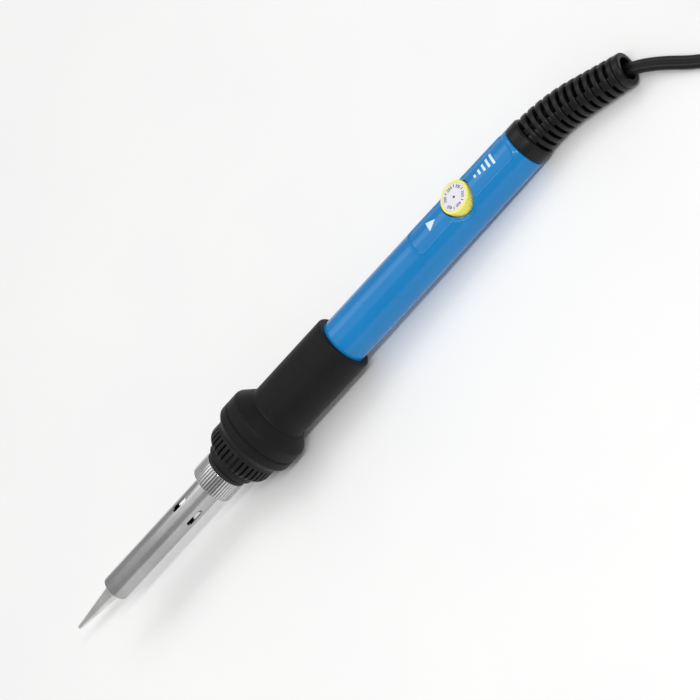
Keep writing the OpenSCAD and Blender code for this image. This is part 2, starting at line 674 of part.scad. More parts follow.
module plug_body() color([0.1, 0.1, 0.1]) on_plug() translate([plug_relief_length, 0, 0]) difference() {
    intersection() {
        translate([0, 0, -plug_thickness / 2]) linear_extrude(plug_thickness) polygon([
            [0, -4.8], [1.5, -5.8], [9, -8], [15, -plug_width / 2 + 0.6], [plug_length - 1, -plug_width / 2],
            [plug_length, -plug_width / 2 + 1], [plug_length, plug_width / 2 - 1],
            [plug_length - 1, plug_width / 2], [15, plug_width / 2 - 0.6], [9, 8], [1.5, 5.8], [0, 4.8]]);
        rotate([90, 0, 0]) linear_extrude(2 * plug_width, center = true) polygon([
            [0, -4.6], [4, -plug_thickness / 2], [plug_length - 1, -plug_thickness / 2],
            [plug_length, -plug_thickness / 2 + 1], [plug_length, plug_thickness / 2 - 1],
            [plug_length - 1, plug_thickness / 2], [4, plug_thickness / 2], [0, 4.6]]);
    }
    for (side = [-1, 1])
        translate([plug_length - blade_root, side * blade_spacing / 2 - blade_thickness / 2 - slip,
            -blade_width / 2 - slip])
            cube([blade_root + 1, blade_thickness + 2 * slip, blade_width + 2 * slip]);
}

module plug_blades() color([0.8, 0.7, 0.45]) on_plug() for (side = [-1, 1])
    translate([plug_relief_length + plug_length - blade_root + slip,
        side * blade_spacing / 2 - blade_thickness / 2, 0])
    blade();

// One blade along x, with its chamfered end
module blade() {
    length = blade_root + blade_length;
    difference() {
        translate([0, blade_thickness, 0]) rotate([90, 0, 0]) linear_extrude(blade_thickness) polygon([
            [0, -blade_width / 2], [length - 1.5, -blade_width / 2], [length, -blade_width / 2 + 1.5],
            [length, blade_width / 2 - 1.5], [length - 1.5, blade_width / 2], [0, blade_width / 2]]);
        translate([length - 4.5, -1, 0]) rotate([-90, 0, 0]) cylinder(h = blade_thickness + 2, r = 1.6);
    }
}

tip();
tip_sleeve();
clamp_nut();
lock_ring();
heater_rod();
heater_socket();
threaded_nipple();
front_collar();
collar_screws();
rubber_grip();
handle_shell();
dial_knob();
dial_plate();
pot_shaft();
pot_body();
pot_pins();
circuit_board();
triac();
film_capacitor();
diac();
resistors();
rectifier_diode();
heater_leads();
mains_leads();
cord_clip();
clip_screw();
strain_relief();
cord_lead();
cord_coil();
cord_tail();
coil_tie();
plug_relief();
plug_body();
plug_blades();
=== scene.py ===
import json
import logging
import math
from dataclasses import dataclass
from enum import Enum
from typing import Callable, Iterable, Sequence

import bmesh
import bpy
from mathutils import Matrix, Vector


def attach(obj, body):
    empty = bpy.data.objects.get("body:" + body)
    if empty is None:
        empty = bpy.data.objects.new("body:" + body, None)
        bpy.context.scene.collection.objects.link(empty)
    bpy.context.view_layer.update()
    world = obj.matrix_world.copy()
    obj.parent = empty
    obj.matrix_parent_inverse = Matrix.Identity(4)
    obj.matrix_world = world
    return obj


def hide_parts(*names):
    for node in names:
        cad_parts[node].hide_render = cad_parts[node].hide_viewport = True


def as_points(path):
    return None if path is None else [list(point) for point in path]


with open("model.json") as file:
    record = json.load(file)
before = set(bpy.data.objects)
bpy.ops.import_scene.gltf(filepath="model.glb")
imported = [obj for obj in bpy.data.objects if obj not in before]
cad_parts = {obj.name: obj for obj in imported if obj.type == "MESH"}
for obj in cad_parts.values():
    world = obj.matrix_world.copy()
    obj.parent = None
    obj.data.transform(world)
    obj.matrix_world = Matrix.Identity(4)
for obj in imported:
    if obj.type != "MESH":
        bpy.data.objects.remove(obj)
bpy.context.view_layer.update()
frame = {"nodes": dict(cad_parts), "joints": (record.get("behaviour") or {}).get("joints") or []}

LOG = logging.getLogger("iron")

MM = 0.001
NUT_MIDDLE = 79.5
NUT_JOINT = next(joint for joint in frame["joints"] if joint["name"] == "nut_turn")
TILT = math.atan2(NUT_JOINT["axis"][2], -NUT_JOINT["axis"][0])
# Takes a point on the iron, in millimetres from the tip's point along the iron's axis, to where it lies
LAY = (
    Matrix.Translation(NUT_JOINT["pos_m"])
    @ Matrix.Rotation(TILT, 4, "Y")
    @ Matrix.Scale(MM, 4)
    @ Matrix.Translation((-NUT_MIDDLE, 0, 0))
)
GROUND = Matrix.Scale(MM, 4)

Corner = tuple[float, float, float]
Shape = Callable[[float, float, float], float]


class Body(Enum):
    """The frame's bodies that a piece can ride on."""

    HANDLE = "handle"
    SEAT_RING = "seat_ring"
    BARREL = "barrel"
    NUT = "nut"
    DIAL = "dial"


class Place(Enum):
    """What a finish's pattern is lined up with: the iron's own axis or the ground."""

    IRON = "iron"
    GROUND = "ground"


# ---------------------------------------------------------------- finishes


def srgb(code: str) -> tuple[float, float, float, float]:
    """Turns an sRGB hex colour to a linear one.

    Args:
        code: six hex digits, with or without a leading hash.

    Returns:
        The linear red, green, blue and an alpha of one.
    """
    parts = [int(code.lstrip("#")[i : i + 2], 16) / 255 for i in (0, 2, 4)]
    linear = [p / 12.92 if p <= 0.04045 else ((p + 0.055) / 1.055) ** 2.4 for p in parts]
    return (linear[0], linear[1], linear[2], 1.0)


def add(
    tree: bpy.types.NodeTree, kind: str, inputs: dict | None = None, **settings: object
) -> bpy.types.Node:
    """Adds a node with its settings, its socket values and its links.

    Args:
        tree: the node tree that the node goes into.
        kind: the node's type name.
        inputs: a value or a linked socket for each input, by name or by number.
        **settings: the node's own properties.

    Returns:
        The new node.
    """
    node = tree.nodes.new(kind)
    for key, value in settings.items():
        setattr(node, key, value)
    for key, value in (inputs or {}).items():
        if isinstance(value, bpy.types.NodeSocket):
            tree.links.new(value, node.inputs[key])
        else:
            node.inputs[key].default_value = value
    return node


@dataclass(frozen=True)
class Finish:
    """A material with a slow change of tone, a fine grain and a roughness that varies with it."""

    name: str
    base: str
    tone: str
    roughness: tuple[float, float] = (0.4, 0.5)
    metallic: float = 0.0
    ior: float = 1.5
    mottle_mm: float = 6.0
    grain_mm: float = 0.3
    relief_mm: float = 0.01
    stretch: tuple[float, float, float] = (1.0, 1.0, 1.0)
    coat: float = 0.0
    sheen: float = 0.0
    subsurface: float = 0.0
    anisotropy: float = 0.0
    dust: str = ""
    dust_mm: float = 0.5
    place: Place = Place.IRON

    def where(self, tree: bpy.types.NodeTree) -> bpy.types.NodeSocket:
        """Gives the place on the piece in millimetres, along and across the iron or the ground.

        Args:
            tree: the material's node tree.

        Returns:
            The socket that holds the place.
        """
        spot = add(tree, "ShaderNodeTexCoord").outputs["Object"]
        iron = self.place is Place.IRON
        mapping = add(
            tree,
            "ShaderNodeMapping",
            {
                "Vector": spot,
                "Location": tuple(LAY.translation) if iron else (0.0, 0.0, 0.0),
                "Rotation": (0.0, TILT if iron else 0.0, 0.0),
                "Scale": (MM, MM, MM),
            },
            vector_type="TEXTURE",
        )
        return mapping.outputs[0]

    def grain(self, tree: bpy.types.NodeTree, where: bpy.types.NodeSocket) -> bpy.types.NodeSocket:
        """Draws the fine grain, stretched the way the surface was worked.

        Args:
            tree: the material's node tree.
            where: the place in millimetres.

        Returns:
            The grain's height from 0 to 1.
        """
        drawn = add(tree, "ShaderNodeVectorMath", {0: where, 1: self.stretch}, operation="MULTIPLY")
        inputs = {"Vector": drawn.outputs[0], "Scale": 1 / self.grain_mm, "Detail": 3.0, "Roughness": 0.6}
        return add(tree, "ShaderNodeTexNoise", inputs).outputs[0]

    def colour(self, tree: bpy.types.NodeTree, where: bpy.types.NodeSocket) -> bpy.types.NodeSocket:
        """Mixes the two tones in soft patches and scatters dust where there is some.

        Args:
            tree: the material's node tree.
            where: the place in millimetres.

        Returns:
            The colour.
        """
        inputs = {"Vector": where, "Scale": 1 / self.mottle_mm, "Detail": 4.0}
        patches = add(tree, "ShaderNodeTexNoise", inputs).outputs[0]
        spread = add(tree, "ShaderNodeMapRange", {0: patches, 1: 0.3, 2: 0.7}).outputs[0]
        mixed = add(tree, "ShaderNodeMix", {0: spread, 6: srgb(self.base), 7: srgb(self.tone)}, data_type="RGBA")
        if not self.dust:
            return mixed.outputs[2]
        fine = add(tree, "ShaderNodeTexNoise", {"Vector": where, "Scale": 1 / self.dust_mm, "Detail": 6.0})
        specks = add(tree, "ShaderNodeMapRange", {0: fine.outputs[0], 1: 0.6, 2: 0.78, 4: 0.3})
        inputs = {0: specks.outputs[0], 6: mixed.outputs[2], 7: srgb(self.dust)}
        return add(tree, "ShaderNodeMix", inputs, data_type="RGBA").outputs[2]

    def material(self) -> bpy.types.Material:
        """Makes the material once and gives the same one after that.

        Returns:
            The material.
        """
        known = bpy.data.materials.get(self.name)
        if known:
            return known
        material = bpy.data.materials.new(self.name)
        material.use_nodes = True
        tree = material.node_tree
        tree.nodes.clear()
        where = self.where(tree)
        grain = self.grain(tree, where)
        inputs = {0: grain, 1: 0.3, 2: 0.7, 3: self.roughness[0], 4: self.roughness[1]}
        dullness = add(tree, "ShaderNodeMapRange", inputs)
        bump = add(tree, "ShaderNodeBump", {"Strength": 1.0, "Distance": self.relief_mm * MM, "Height": grain})
        shader = add(
            tree,
            "ShaderNodeBsdfPrincipled",
            {
                "Base Color": self.colour(tree, where),
                "Metallic": self.metallic,
                "Roughness": dullness.outputs[0],
                "IOR": self.ior,
                "Coat Weight": self.coat,
                "Coat Roughness": 0.2,
                "Sheen Weight": self.sheen,
                "Subsurface Weight": self.subsurface,
                "Subsurface Radius": (0.6 * MM, 0.5 * MM, 0.3 * MM),
                "Subsurface Scale": 1.0,
                "Anisotropic": self.anisotropy,
                "Normal": bump.outputs[0],
            },
        )
        add(tree, "ShaderNodeOutputMaterial", {"Surface": shader.outputs[0]})
        return material


@dataclass(frozen=True)
class TinnedTip(Finish):
    """Iron plating with a wetted, brighter end where solder has been melted on it."""

    solder: str = "#DADBDD"
    tinned_mm: float = 4.5

    def colour(self, tree: bpy.types.NodeTree, where: bpy.types.NodeSocket) -> bpy.types.NodeSocket:
        """Lays solder over the tip's end, with an uneven edge.

        Args:
            tree: the material's node tree.
            where: the place in millimetres.

        Returns:
            The colour.
        """
        plating = super().colour(tree, where)
        along = add(tree, "ShaderNodeSeparateXYZ", {0: where}).outputs[0]
        ragged = add(tree, "ShaderNodeTexNoise", {"Vector": where, "Scale": 0.8, "Detail": 3.0}).outputs[0]
        edge = add(tree, "ShaderNodeMath", {0: ragged, 1: 2.0, 2: along}, operation="MULTIPLY_ADD").outputs[0]
        tinned = add(tree, "ShaderNodeMapRange", {0: edge, 1: self.tinned_mm, 2: self.tinned_mm + 1.5, 3: 1.0, 4: 0.0})
        inputs = {0: tinned.outputs[0], 6: plating, 7: srgb(self.solder)}
        return add(tree, "ShaderNodeMix", inputs, data_type="RGBA").outputs[2]


@dataclass(frozen=True)
class Braid(Finish):
    """Glass yarn woven round a wire: two sets of crossing strands."""

    strand_mm: float = 0.45

    def grain(self, tree: bpy.types.NodeTree, where: bpy.types.NodeSocket) -> bpy.types.NodeSocket:
        """Crosses two waves at the strands' spacing.

        Args:
            tree: the material's node tree.
            where: the place in millimetres.

        Returns:
            The weave's height from 0 to 1.
        """
        waves = []
        for lean in (1.0, -1.0):
            slanted = add(tree, "ShaderNodeVectorMath", {0: where, 1: (1.0, lean, lean)}, operation="MULTIPLY")
            # One band of the wave texture is pi / 10 of its coordinate at a scale of one
            inputs = {"Vector": slanted.outputs[0], "Scale": 0.314 / self.strand_mm, "Distortion": 0.3}
            waves.append(add(tree, "ShaderNodeTexWave", inputs, bands_direction="DIAGONAL").outputs[1])
        return add(tree, "ShaderNodeMath", {0: waves[0], 1: waves[1]}, operation="MAXIMUM").outputs[0]


# Iron-plated copper bit: a satin grey cone, its end bright where it has been tinned
TIP = TinnedTip("iron_plated_copper", "#E4E4E2", "#D2D1CF", (0.24, 0.4), 1.0, grain_mm=0.35, stretch=(1, 0.2, 0.2))
# Drawn stainless tube, brushed lengthwise: one soft bright line along it, with grey on both sides
SLEEVE = Finish("brushed_stainless_tube", "#B9B9B9", "#A9A9A9", (0.2, 0.3), 1.0, mottle_mm=14, grain_mm=0.3,
                relief_mm=0.004, stretch=(0.06, 1, 1))
# Bright nickel on turned brass: flutes that flash white beside dark roots
NUT = Finish("bright_nickel_plated_brass", "#CFCFCF", "#BCBCBD", (0.14, 0.24), 1.0, grain_mm=0.4, relief_mm=0.005,
             stretch=(1, 0.2, 0.2))
# Zinc-plated turned steel, with fine rings from the lathe
NIPPLE = Finish("zinc_plated_steel", "#CFCFCE", "#BBBBBC", (0.2, 0.34), 1.0, grain_mm=0.25, stretch=(1, 0.05, 0.05))
# Pressed fibre: dead black with a short nap
FIBRE = Finish("pressed_fibre", "#0D0D0D", "#161616", (0.75, 0.9), grain_mm=0.15, relief_mm=0.02)
# Fired alumina: white, faintly grainy and a little see-through at its edges
CERAMIC = Finish("fired_alumina", "#F1EFEA", "#E4E1DA", (0.45, 0.6), ior=1.76, grain_mm=0.2, subsurface=0.2)
# Compression-moulded phenolic: dark grey-black, smooth but not shiny
COLLAR = Finish("moulded_phenolic", "#0C0C0D", "#111112", (0.42, 0.58), ior=1.34, grain_mm=0.22, relief_mm=0.012,
                dust="#2C2C2E", dust_mm=0.5)
# Soft moulded rubber with a spark-eroded skin: black, matt, with a little lint on it
GRIP = Finish("soft_moulded_rubber", "#070708", "#0B0B0C", (0.5, 0.66), ior=1.29, grain_mm=0.28, relief_mm=0.03,
              sheen=0.03, dust="#303034", dust_mm=0.35)
# Injection-moulded ABS in its own blue: a soft gloss with the slightest orange peel
HANDLE = Finish("moulded_abs_blue", "#0276B7", "#057BBC", (0.13, 0.18), ior=1.4, mottle_mm=18, grain_mm=0.7,
                relief_mm=0.0015, coat=0.1)
# Tinted polycarbonate: pale warm yellow that glows a little at its edge
DIAL = Finish("tinted_polycarbonate", "#EDE76A", "#F3EE82", (0.28, 0.4), ior=1.58, grain_mm=0.4, relief_mm=0.008,
              subsurface=0.35)
# Printed vinyl disc: cool off-white, satin
DIAL_FACE = Finish("satin_vinyl_disc", "#E4E2E8", "#DCDAE2", (0.4, 0.5), grain_mm=0.2, relief_mm=0.004)
# Pad-printed ink, a thin dull film
DARK_INK = Finish("dark_pad_print", "#2B2A3A", "#3A3948", (0.5, 0.65), grain_mm=0.12, relief_mm=0.003)
WHITE_INK = Finish("white_pad_print", "#DCEAF5", "#C9DDEE", (0.5, 0.62), grain_mm=0.12, relief_mm=0.003)
# Moulded PVC of the strain relief: black with a soft shine on each ring's edge
RELIEF = Finish("moulded_pvc_black", "#070708", "#0B0B0C", (0.3, 0.44), ior=1.33, grain_mm=0.3, relief_mm=0.012)
# Extruded PVC jacket: black satin, with faint lines from the die
JACKET = Finish("extruded_pvc_jacket", "#08080A", "#0D0D0E", (0.3, 0.44), ior=1.36, grain_mm=0.5,
                relief_mm=0.01, place=Place.GROUND)
# Woven hook strap: dull dark grey with a felted face
STRAP = Finish("woven_hook_strap", "#1E1E20", "#2B2B2E", (0.8, 0.95), grain_mm=0.35, relief_mm=0.08, sheen=0.3,
               place=Place.GROUND)
# Moulded PVC plug: black, finely spark-eroded
PLUG = Finish("moulded_pvc_plug", "#151516", "#1D1D1F", (0.38, 0.52), ior=1.53, grain_mm=0.3, relief_mm=0.02,
              place=Place.GROUND)
# Nickel-washed brass blades: pale gold metal with lengthwise rolling marks
BLADE = Finish("nickel_washed_brass", "#CDBF94", "#D8D0B4", (0.22, 0.36), 1.0, grain_mm=0.25, relief_mm=0.004,
               stretch=(0.08, 1, 1), place=Place.GROUND)
# Pale matt studio board under everything
FLOOR = Finish("pale_studio_board", "#F4F4F3", "#F1F1F1", (0.8, 0.9), mottle_mm=90, grain_mm=2, relief_mm=0.005,
               place=Place.GROUND)

# Pieces inside the handle that keep the frame's own shape, each with the finish it has in a real iron
INNER_FINISHES = {
    "heater_rod": CERAMIC,
    "heater_socket": CERAMIC,
    "collar_screws": NIPPLE,
    "clip_screw": NIPPLE,
    # Natural nylon: milky and slightly waxy
    "pot_shaft": Finish("natural_nylon", "#E9E6DA", "#DFDBCB", (0.4, 0.55), ior=1.53, subsurface=0.3),
    "cord_clip": Finish("natural_nylon_clip", "#E4E2D8", "#D9D6C9", (0.45, 0.6), ior=1.53, subsurface=0.2),
    # Moulded phenolic case of the potentiometer
    "pot_body": Finish("moulded_blue_case", "#23508C", "#2A5A99", (0.45, 0.6)),
    # Solder-dipped legs
    "pot_pins": Finish("tinned_copper_legs", "#C9CACB", "#B6B8BA", (0.25, 0.4), 1.0, grain_mm=0.3),
    # Glass-filled epoxy under green solder resist, with the cloth's weave just showing
    "circuit_board": Finish("solder_resist_green", "#11603A", "#187046", (0.25, 0.4), ior=1.55, grain_mm=0.8,
                            coat=0.3),
    "triac": Finish("moulded_epoxy_black", "#17171A", "#202023", (0.5, 0.65), ior=1.55),
    "rectifier_diode": Finish("moulded_epoxy_diode", "#18181A", "#232325", (0.45, 0.6), ior=1.55),
    # Dipped lacquer, thick and glossy
    "film_capacitor": Finish("dipped_red_lacquer", "#A62E1B", "#B53A24", (0.18, 0.3), ior=1.52, coat=0.5),
    "diac": Finish("painted_glass_blue", "#2A55A5", "#3461B2", (0.15, 0.28), ior=1.52, coat=0.6),
    "resistors": Finish("lacquered_ceramic_tan", "#C8AC7C", "#BC9E6C", (0.4, 0.55), ior=1.55),
    "heater_leads": Braid("woven_glass_sleeve", "#E8E5DA", "#D8D4C6", (0.7, 0.85), relief_mm=0.08),
    "mains_leads": Finish("extruded_pvc_brown", "#5B3319", "#683D20", (0.35, 0.5), ior=1.53),
}


# ---------------------------------------------------------------- shaping


def filleted(corners: Sequence[Corner], steps: int = 4) -> list[tuple[float, float]]:
    """Rounds the corners of an outline.

    Args:
        corners: each corner as its place along the axis, its radius from the axis and its fillet's radius.
        steps: how many straight pieces a fillet has.

    Returns:
        The outline's points as (along, radius).
    """
    points: list[tuple[float, float]] = []
    count = len(corners)
    for i, (x, r, fillet) in enumerate(corners):
        here = Vector((x, r))
        before = Vector(corners[i - 1][:2]) - here
        after = Vector(corners[(i + 1) % count][:2]) - here
        if fillet <= 0 or before.length < 1e-6 or after.length < 1e-6:
            points.append((x, r))
            continue
        half = before.angle(after) / 2
        reach = min(fillet / math.tan(half), 0.49 * before.length, 0.49 * after.length)
        start = here + before.normalized() * reach
        end = here + after.normalized() * reach
        for step in range(steps + 1):
            t = step / steps
            spot = start * (1 - t) ** 2 + here * 2 * t * (1 - t) + end * t**2
            points.append((spot.x, spot.y))
    return points


def spun(outline: Sequence[tuple[float, float]], steps: int = 96) -> bmesh.types.BMesh:
    """Turns a closed outline round the iron's axis.

    Args:
        outline: points as (along, radius), in order round the outline.
        steps: how many pieces the full turn has.

    Returns:
        The closed solid.
    """
    bm = bmesh.new()
    verts = [bm.verts.new((x, 0.0, r)) for x, r in outline]
    edges = [bm.edges.new((verts[i - 1], verts[i])) for i in range(len(verts))]
    bmesh.ops.spin(bm, geom=verts + edges, cent=(0, 0, 0), axis=(1, 0, 0), angle=math.tau, steps=steps,
                   use_merge=True)
    return closed(bm)


def closed(bm: bmesh.types.BMesh) -> bmesh.types.BMesh:
    """Welds what meets, drops what has no size and points every face outward.

    Args:
        bm: the mesh to close.

    Returns:
        The same mesh.
    """
    bmesh.ops.remove_doubles(bm, verts=bm.verts[:], dist=1e-4)
    bmesh.ops.dissolve_degenerate(bm, edges=bm.edges[:], dist=1e-5)
    loose = [edge for edge in bm.edges if not edge.link_faces]
    bmesh.ops.delete(bm, geom=loose, context="EDGES")
    bmesh.ops.recalc_face_normals(bm, faces=bm.faces[:])
    return bm


def lofted(
    stations: int, slots: int, place: Callable[[int, int], Vector], capped: bool = False
) -> bmesh.types.BMesh:
    """Draws a ring out through a row of stations.

    Args:
        stations: how many rings there are.
        slots: how many points a ring has.
        place: gives where a slot of a station is.
        capped: whether the two end rings are filled.

    Returns:
        The mesh, welded where rings meet.
    """
    bm = bmesh.new()
    layer = bm.verts.layers.int.new("slot")
    ring = bmesh.ops.create_circle(bm, cap_ends=False, segments=slots, radius=1.0)["verts"]
    for index, vert in enumerate(ring):
        vert[layer] = index
        vert.co = place(0, index)
    edges = bm.edges[:]
    for station in range(1, stations):
        made = bmesh.ops.extrude_edge_only(bm, edges=edges)["geom"]
        for vert in (g for g in made if isinstance(g, bmesh.types.BMVert)):
            vert.co = place(station, vert[layer])
        edges = [g for g in made if isinstance(g, bmesh.types.BMEdge) and g.is_boundary]
    if capped:
        bmesh.ops.holes_fill(bm, edges=[edge for edge in bm.edges if edge.is_boundary], sides=0)
    return closed(bm)


def turned(outline: Sequence[tuple[float, float]], angles: Sequence[float], shape: Shape) -> bmesh.types.BMesh:
    """Turns an outline round the axis with a radius that also depends on the angle.

    Args:
        outline: points as (along, radius). The outline closes on its first point or ends on the axis.
        angles: the angle of each slot round the axis, in radians, from the dial's side.
        shape: takes an angle, a place along the axis and a radius, and gives the radius there.

    Returns:
        The closed solid.
    """
    rings = list(outline)
    if rings[0][1] > 1e-6:
        rings.append(rings[0])

    def place(station: int, slot: int) -> Vector:
        """Gives a slot's point on a station."""
        x, r = rings[station]
        reach = shape(angles[slot], x, r)
        return Vector((x, -reach * math.sin(angles[slot]), reach * math.cos(angles[slot])))

    return lofted(len(rings), len(angles), place)


def even(count: int) -> list[float]:
    """Gives angles spaced evenly round a full turn, in radians."""
    return [math.tau * i / count for i in range(count)]


def merged(parts: Iterable[bmesh.types.BMesh]) -> bmesh.types.BMesh:
    """Puts several closed shells in one mesh.

    Args:
        parts: the shells, which are used up.

    Returns:
        One mesh with them all.
    """
    whole = bmesh.new()
    for part in parts:
        mesh = bpy.data.meshes.new("part")
        part.to_mesh(mesh)
        part.free()
        whole.from_mesh(mesh)
        bpy.data.meshes.remove(mesh)
    return whole


def block(size: Sequence[float], at: Sequence[float], rounding: float = 0.0, segments: int = 2) -> bmesh.types.BMesh:
    """Makes a box with rounded edges.

    Args:
        size: the box's length, width and height.
        at: the box's middle.
        rounding: the radius of its edges.
        segments: how many pieces a rounding has.

    Returns:
        The box.
    """
    bm = bmesh.new()
    bmesh.ops.create_cube(bm, size=1.0)
    bmesh.ops.scale(bm, vec=size, verts=bm.verts[:])
    if rounding > 0:
        bmesh.ops.bevel(bm, geom=bm.edges[:], offset=rounding, offset_type="OFFSET", affect="EDGES",
                        segments=segments, profile=0.5, material=-1)
    bmesh.ops.translate(bm, vec=at, verts=bm.verts[:])
    return bm


def cylinder(start: Vector, end: Vector, radius: float, segments: int = 64) -> bmesh.types.BMesh:
    """Makes a straight round bar between two points.

    Args:
        start: the middle of one end.
        end: the middle of the other end.
        radius: the bar's radius.
        segments: how many sides it has.

    Returns:
        The bar.
    """
    bm = bmesh.new()
    run = end - start
    turn = Vector((0, 0, 1)).rotation_difference(run).to_matrix().to_4x4()
    bmesh.ops.create_cone(bm, cap_ends=True, segments=segments, radius1=radius, radius2=radius, depth=run.length,
                          matrix=Matrix.Translation((start + end) / 2) @ turn)
    return bm


def joined(base: bmesh.types.BMesh, tool: bmesh.types.BMesh, operation: str) -> bmesh.types.BMesh:
    """Cuts one solid with another or adds it.

    Args:
        base: the solid that is kept, which is used up.
        tool: the other solid, which is used up.
        operation: DIFFERENCE, INTERSECT or UNION.

    Returns:
        The result.
    """
    objects = []
    for bm in (base, tool):
        mesh = bpy.data.meshes.new("solid")
        bm.to_mesh(mesh)
        bm.free()
        objects.append(bpy.data.objects.new("solid", mesh))
        bpy.context.scene.collection.objects.link(objects[-1])
    modifier = objects[0].modifiers.new("join", "BOOLEAN")
    modifier.object = objects[1]
    modifier.operation = operation
    modifier.solver = "EXACT"
    evaluated = objects[0].evaluated_get(bpy.context.evaluated_depsgraph_get())
    result = bmesh.new()
    result.from_mesh(evaluated.to_mesh())
    evaluated.to_mesh_clear()
    for made in objects:
        mesh = made.data
        bpy.data.objects.remove(made)
        bpy.data.meshes.remove(mesh)
    return result


def piece(name: str, bm: bmesh.types.BMesh, finish: Finish, body: Body, stands_for: Sequence[str] = (),
          laid: Matrix = LAY, sharp: float = 32.0) -> bpy.types.Object:
    """Makes an object of a mesh, sets it in its place and dresses it.

    Args:
        name: the piece's name.
        bm: its mesh in millimetres, which is used up.
        finish: its finish.
        body: the body that it moves with.
        stands_for: the frame's nodes that it replaces.
        laid: takes its millimetres to where it lies.
        sharp: the angle in degrees from which an edge is drawn sharp.

    Returns:
        The object.
    """
    bm.transform(laid)
    mesh = bpy.data.meshes.new(name)
    bm.to_mesh(mesh)
    bm.free()
    mesh.shade_smooth()
    mesh.set_sharp_from_angle(angle=math.radians(sharp))
    mesh.materials.append(finish.material())
    made = bpy.data.objects.new(name, mesh)
    bpy.context.scene.collection.objects.link(made)
    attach(made, body.value)
    if stands_for:
        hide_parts(*stands_for)
    LOG.info("%s: %d faces", name, len(mesh.polygons))
    return made


# ---------------------------------------------------------------- studio


@dataclass
class Studio:
    """The floor, the soft lights and the camera."""

    floor_size: float = 6.0
    distance: float = 0.885
    lens: float = 137.98
    roll: float = math.radians(47.17)
    # Where the camera stands, as shares of the iron's axis, its upright and its left side
    back_share: tuple[float, float, float] = (0.366, 0.695, -0.617)
    looks_at_mm: float = 147.0

    def axes(self) -> tuple[Vector, Vector, Vector]:
        """Works out the camera's right, up and backward directions from the iron's own.

        Returns:
            The three directions.
        """
        turn = LAY.to_3x3().normalized()
        along, left, upright = (turn @ Vector(v) for v in ((1, 0, 0), (0, 1, 0), (0, 0, 1)))
        share = self.back_share
        back = (along * share[0] + upright * share[1] + left * share[2]).normalized()
        first = (along - back * along.dot(back)).normalized()
        second = back.cross(first)
        right = first * math.cos(self.roll) - second * math.sin(self.roll)
        up = first * math.sin(self.roll) + second * math.cos(self.roll)
        return right, up, back

    def camera(self) -> None:
        """Sets the camera up."""
        right, up, back = self.axes()
        target = LAY @ Vector((self.looks_at_mm, 0, 0))
        across = up * math.cos(self.roll) - right * math.sin(self.roll)
        target = target - across * 2.3 * MM - up * 1.5 * MM
        data = bpy.data.cameras.new("view")
        data.lens = self.lens
        data.sensor_width = 36.0
        data.clip_start = 0.01
        data.clip_end = 20.0
        made = bpy.data.objects.new("view", data)
        bpy.context.scene.collection.objects.link(made)
        turn = Matrix((right, up, back)).transposed().to_4x4()
        made.matrix_world = Matrix.Translation(target + back * self.distance) @ turn
        bpy.context.scene.camera = made

    def lamp(self, name: str, at: Vector, size: tuple[float, float], power: float, along: Vector) -> None:
        """Adds a soft rectangular light that faces the iron.

        Args:
            name: the light's name.
            at: where it stands.
            size: its length and width in metres.
            power: its power in watts.
            along: the direction that its length follows.
        """
        data = bpy.data.lights.new(name, "AREA")
        data.shape = "RECTANGLE"
        data.size, data.size_y = size
        data.energy = power
        made = bpy.data.objects.new(name, data)
        bpy.context.scene.collection.objects.link(made)
        target = LAY @ Vector((self.looks_at_mm, 0, 0))
        back = (at - target).normalized()
        first = (along - back * along.dot(back)).normalized()
        turn = Matrix((first, back.cross(first), back)).transposed().to_4x4()
        made.matrix_world = Matrix.Translation(at) @ turn

    def build(self) -> None:
        """Makes the floor, the lights, the sky and the camera."""
        bm = bmesh.new()
        bmesh.ops.create_grid(bm, x_segments=8, y_segments=8, size=self.floor_size / 2)
        mesh = bpy.data.meshes.new("floor")
        bm.to_mesh(mesh)
        bm.free()
        mesh.materials.append(FLOOR.material())
        floor = bpy.data.objects.new("floor", mesh)
        bpy.context.scene.collection.objects.link(floor)
        right, up, back = self.axes()
        along = LAY.to_3x3().normalized() @ Vector((1, 0, 0))
        target = LAY @ Vector((self.looks_at_mm, 0, 0))
        across = back.cross(along).normalized()
        self.lamp("key", target + back * 1.1 + Vector((0, 0, 0.35)), (1.2, 0.1), 7.5, along)
        self.lamp("left_fill", target + across * 1.0 + Vector((0, 0, 0.7)), (1.4, 0.8), 4.5, along)
        self.lamp("right_fill", target - across * 0.9 + Vector((0, 0, 0.5)), (1.4, 0.6), 1.5, along)
        self.lamp("top", target + Vector((0, 0, 1.5)), (1.6, 1.6), 5.0, along)
        world = bpy.data.worlds.new("studio")
        world.use_nodes = True
        world.node_tree.nodes.clear()
        sky = add(world.node_tree, "ShaderNodeBackground", {"Color": srgb("#FFFFFF"), "Strength": 0.48})
        add(world.node_tree, "ShaderNodeOutputWorld", {"Surface": sky.outputs[0]})
        bpy.context.scene.world = world
        bpy.context.scene.view_settings.view_transform = "Standard"
        self.camera()
        LOG.info("studio")


# ---------------------------------------------------------------- lead and plug


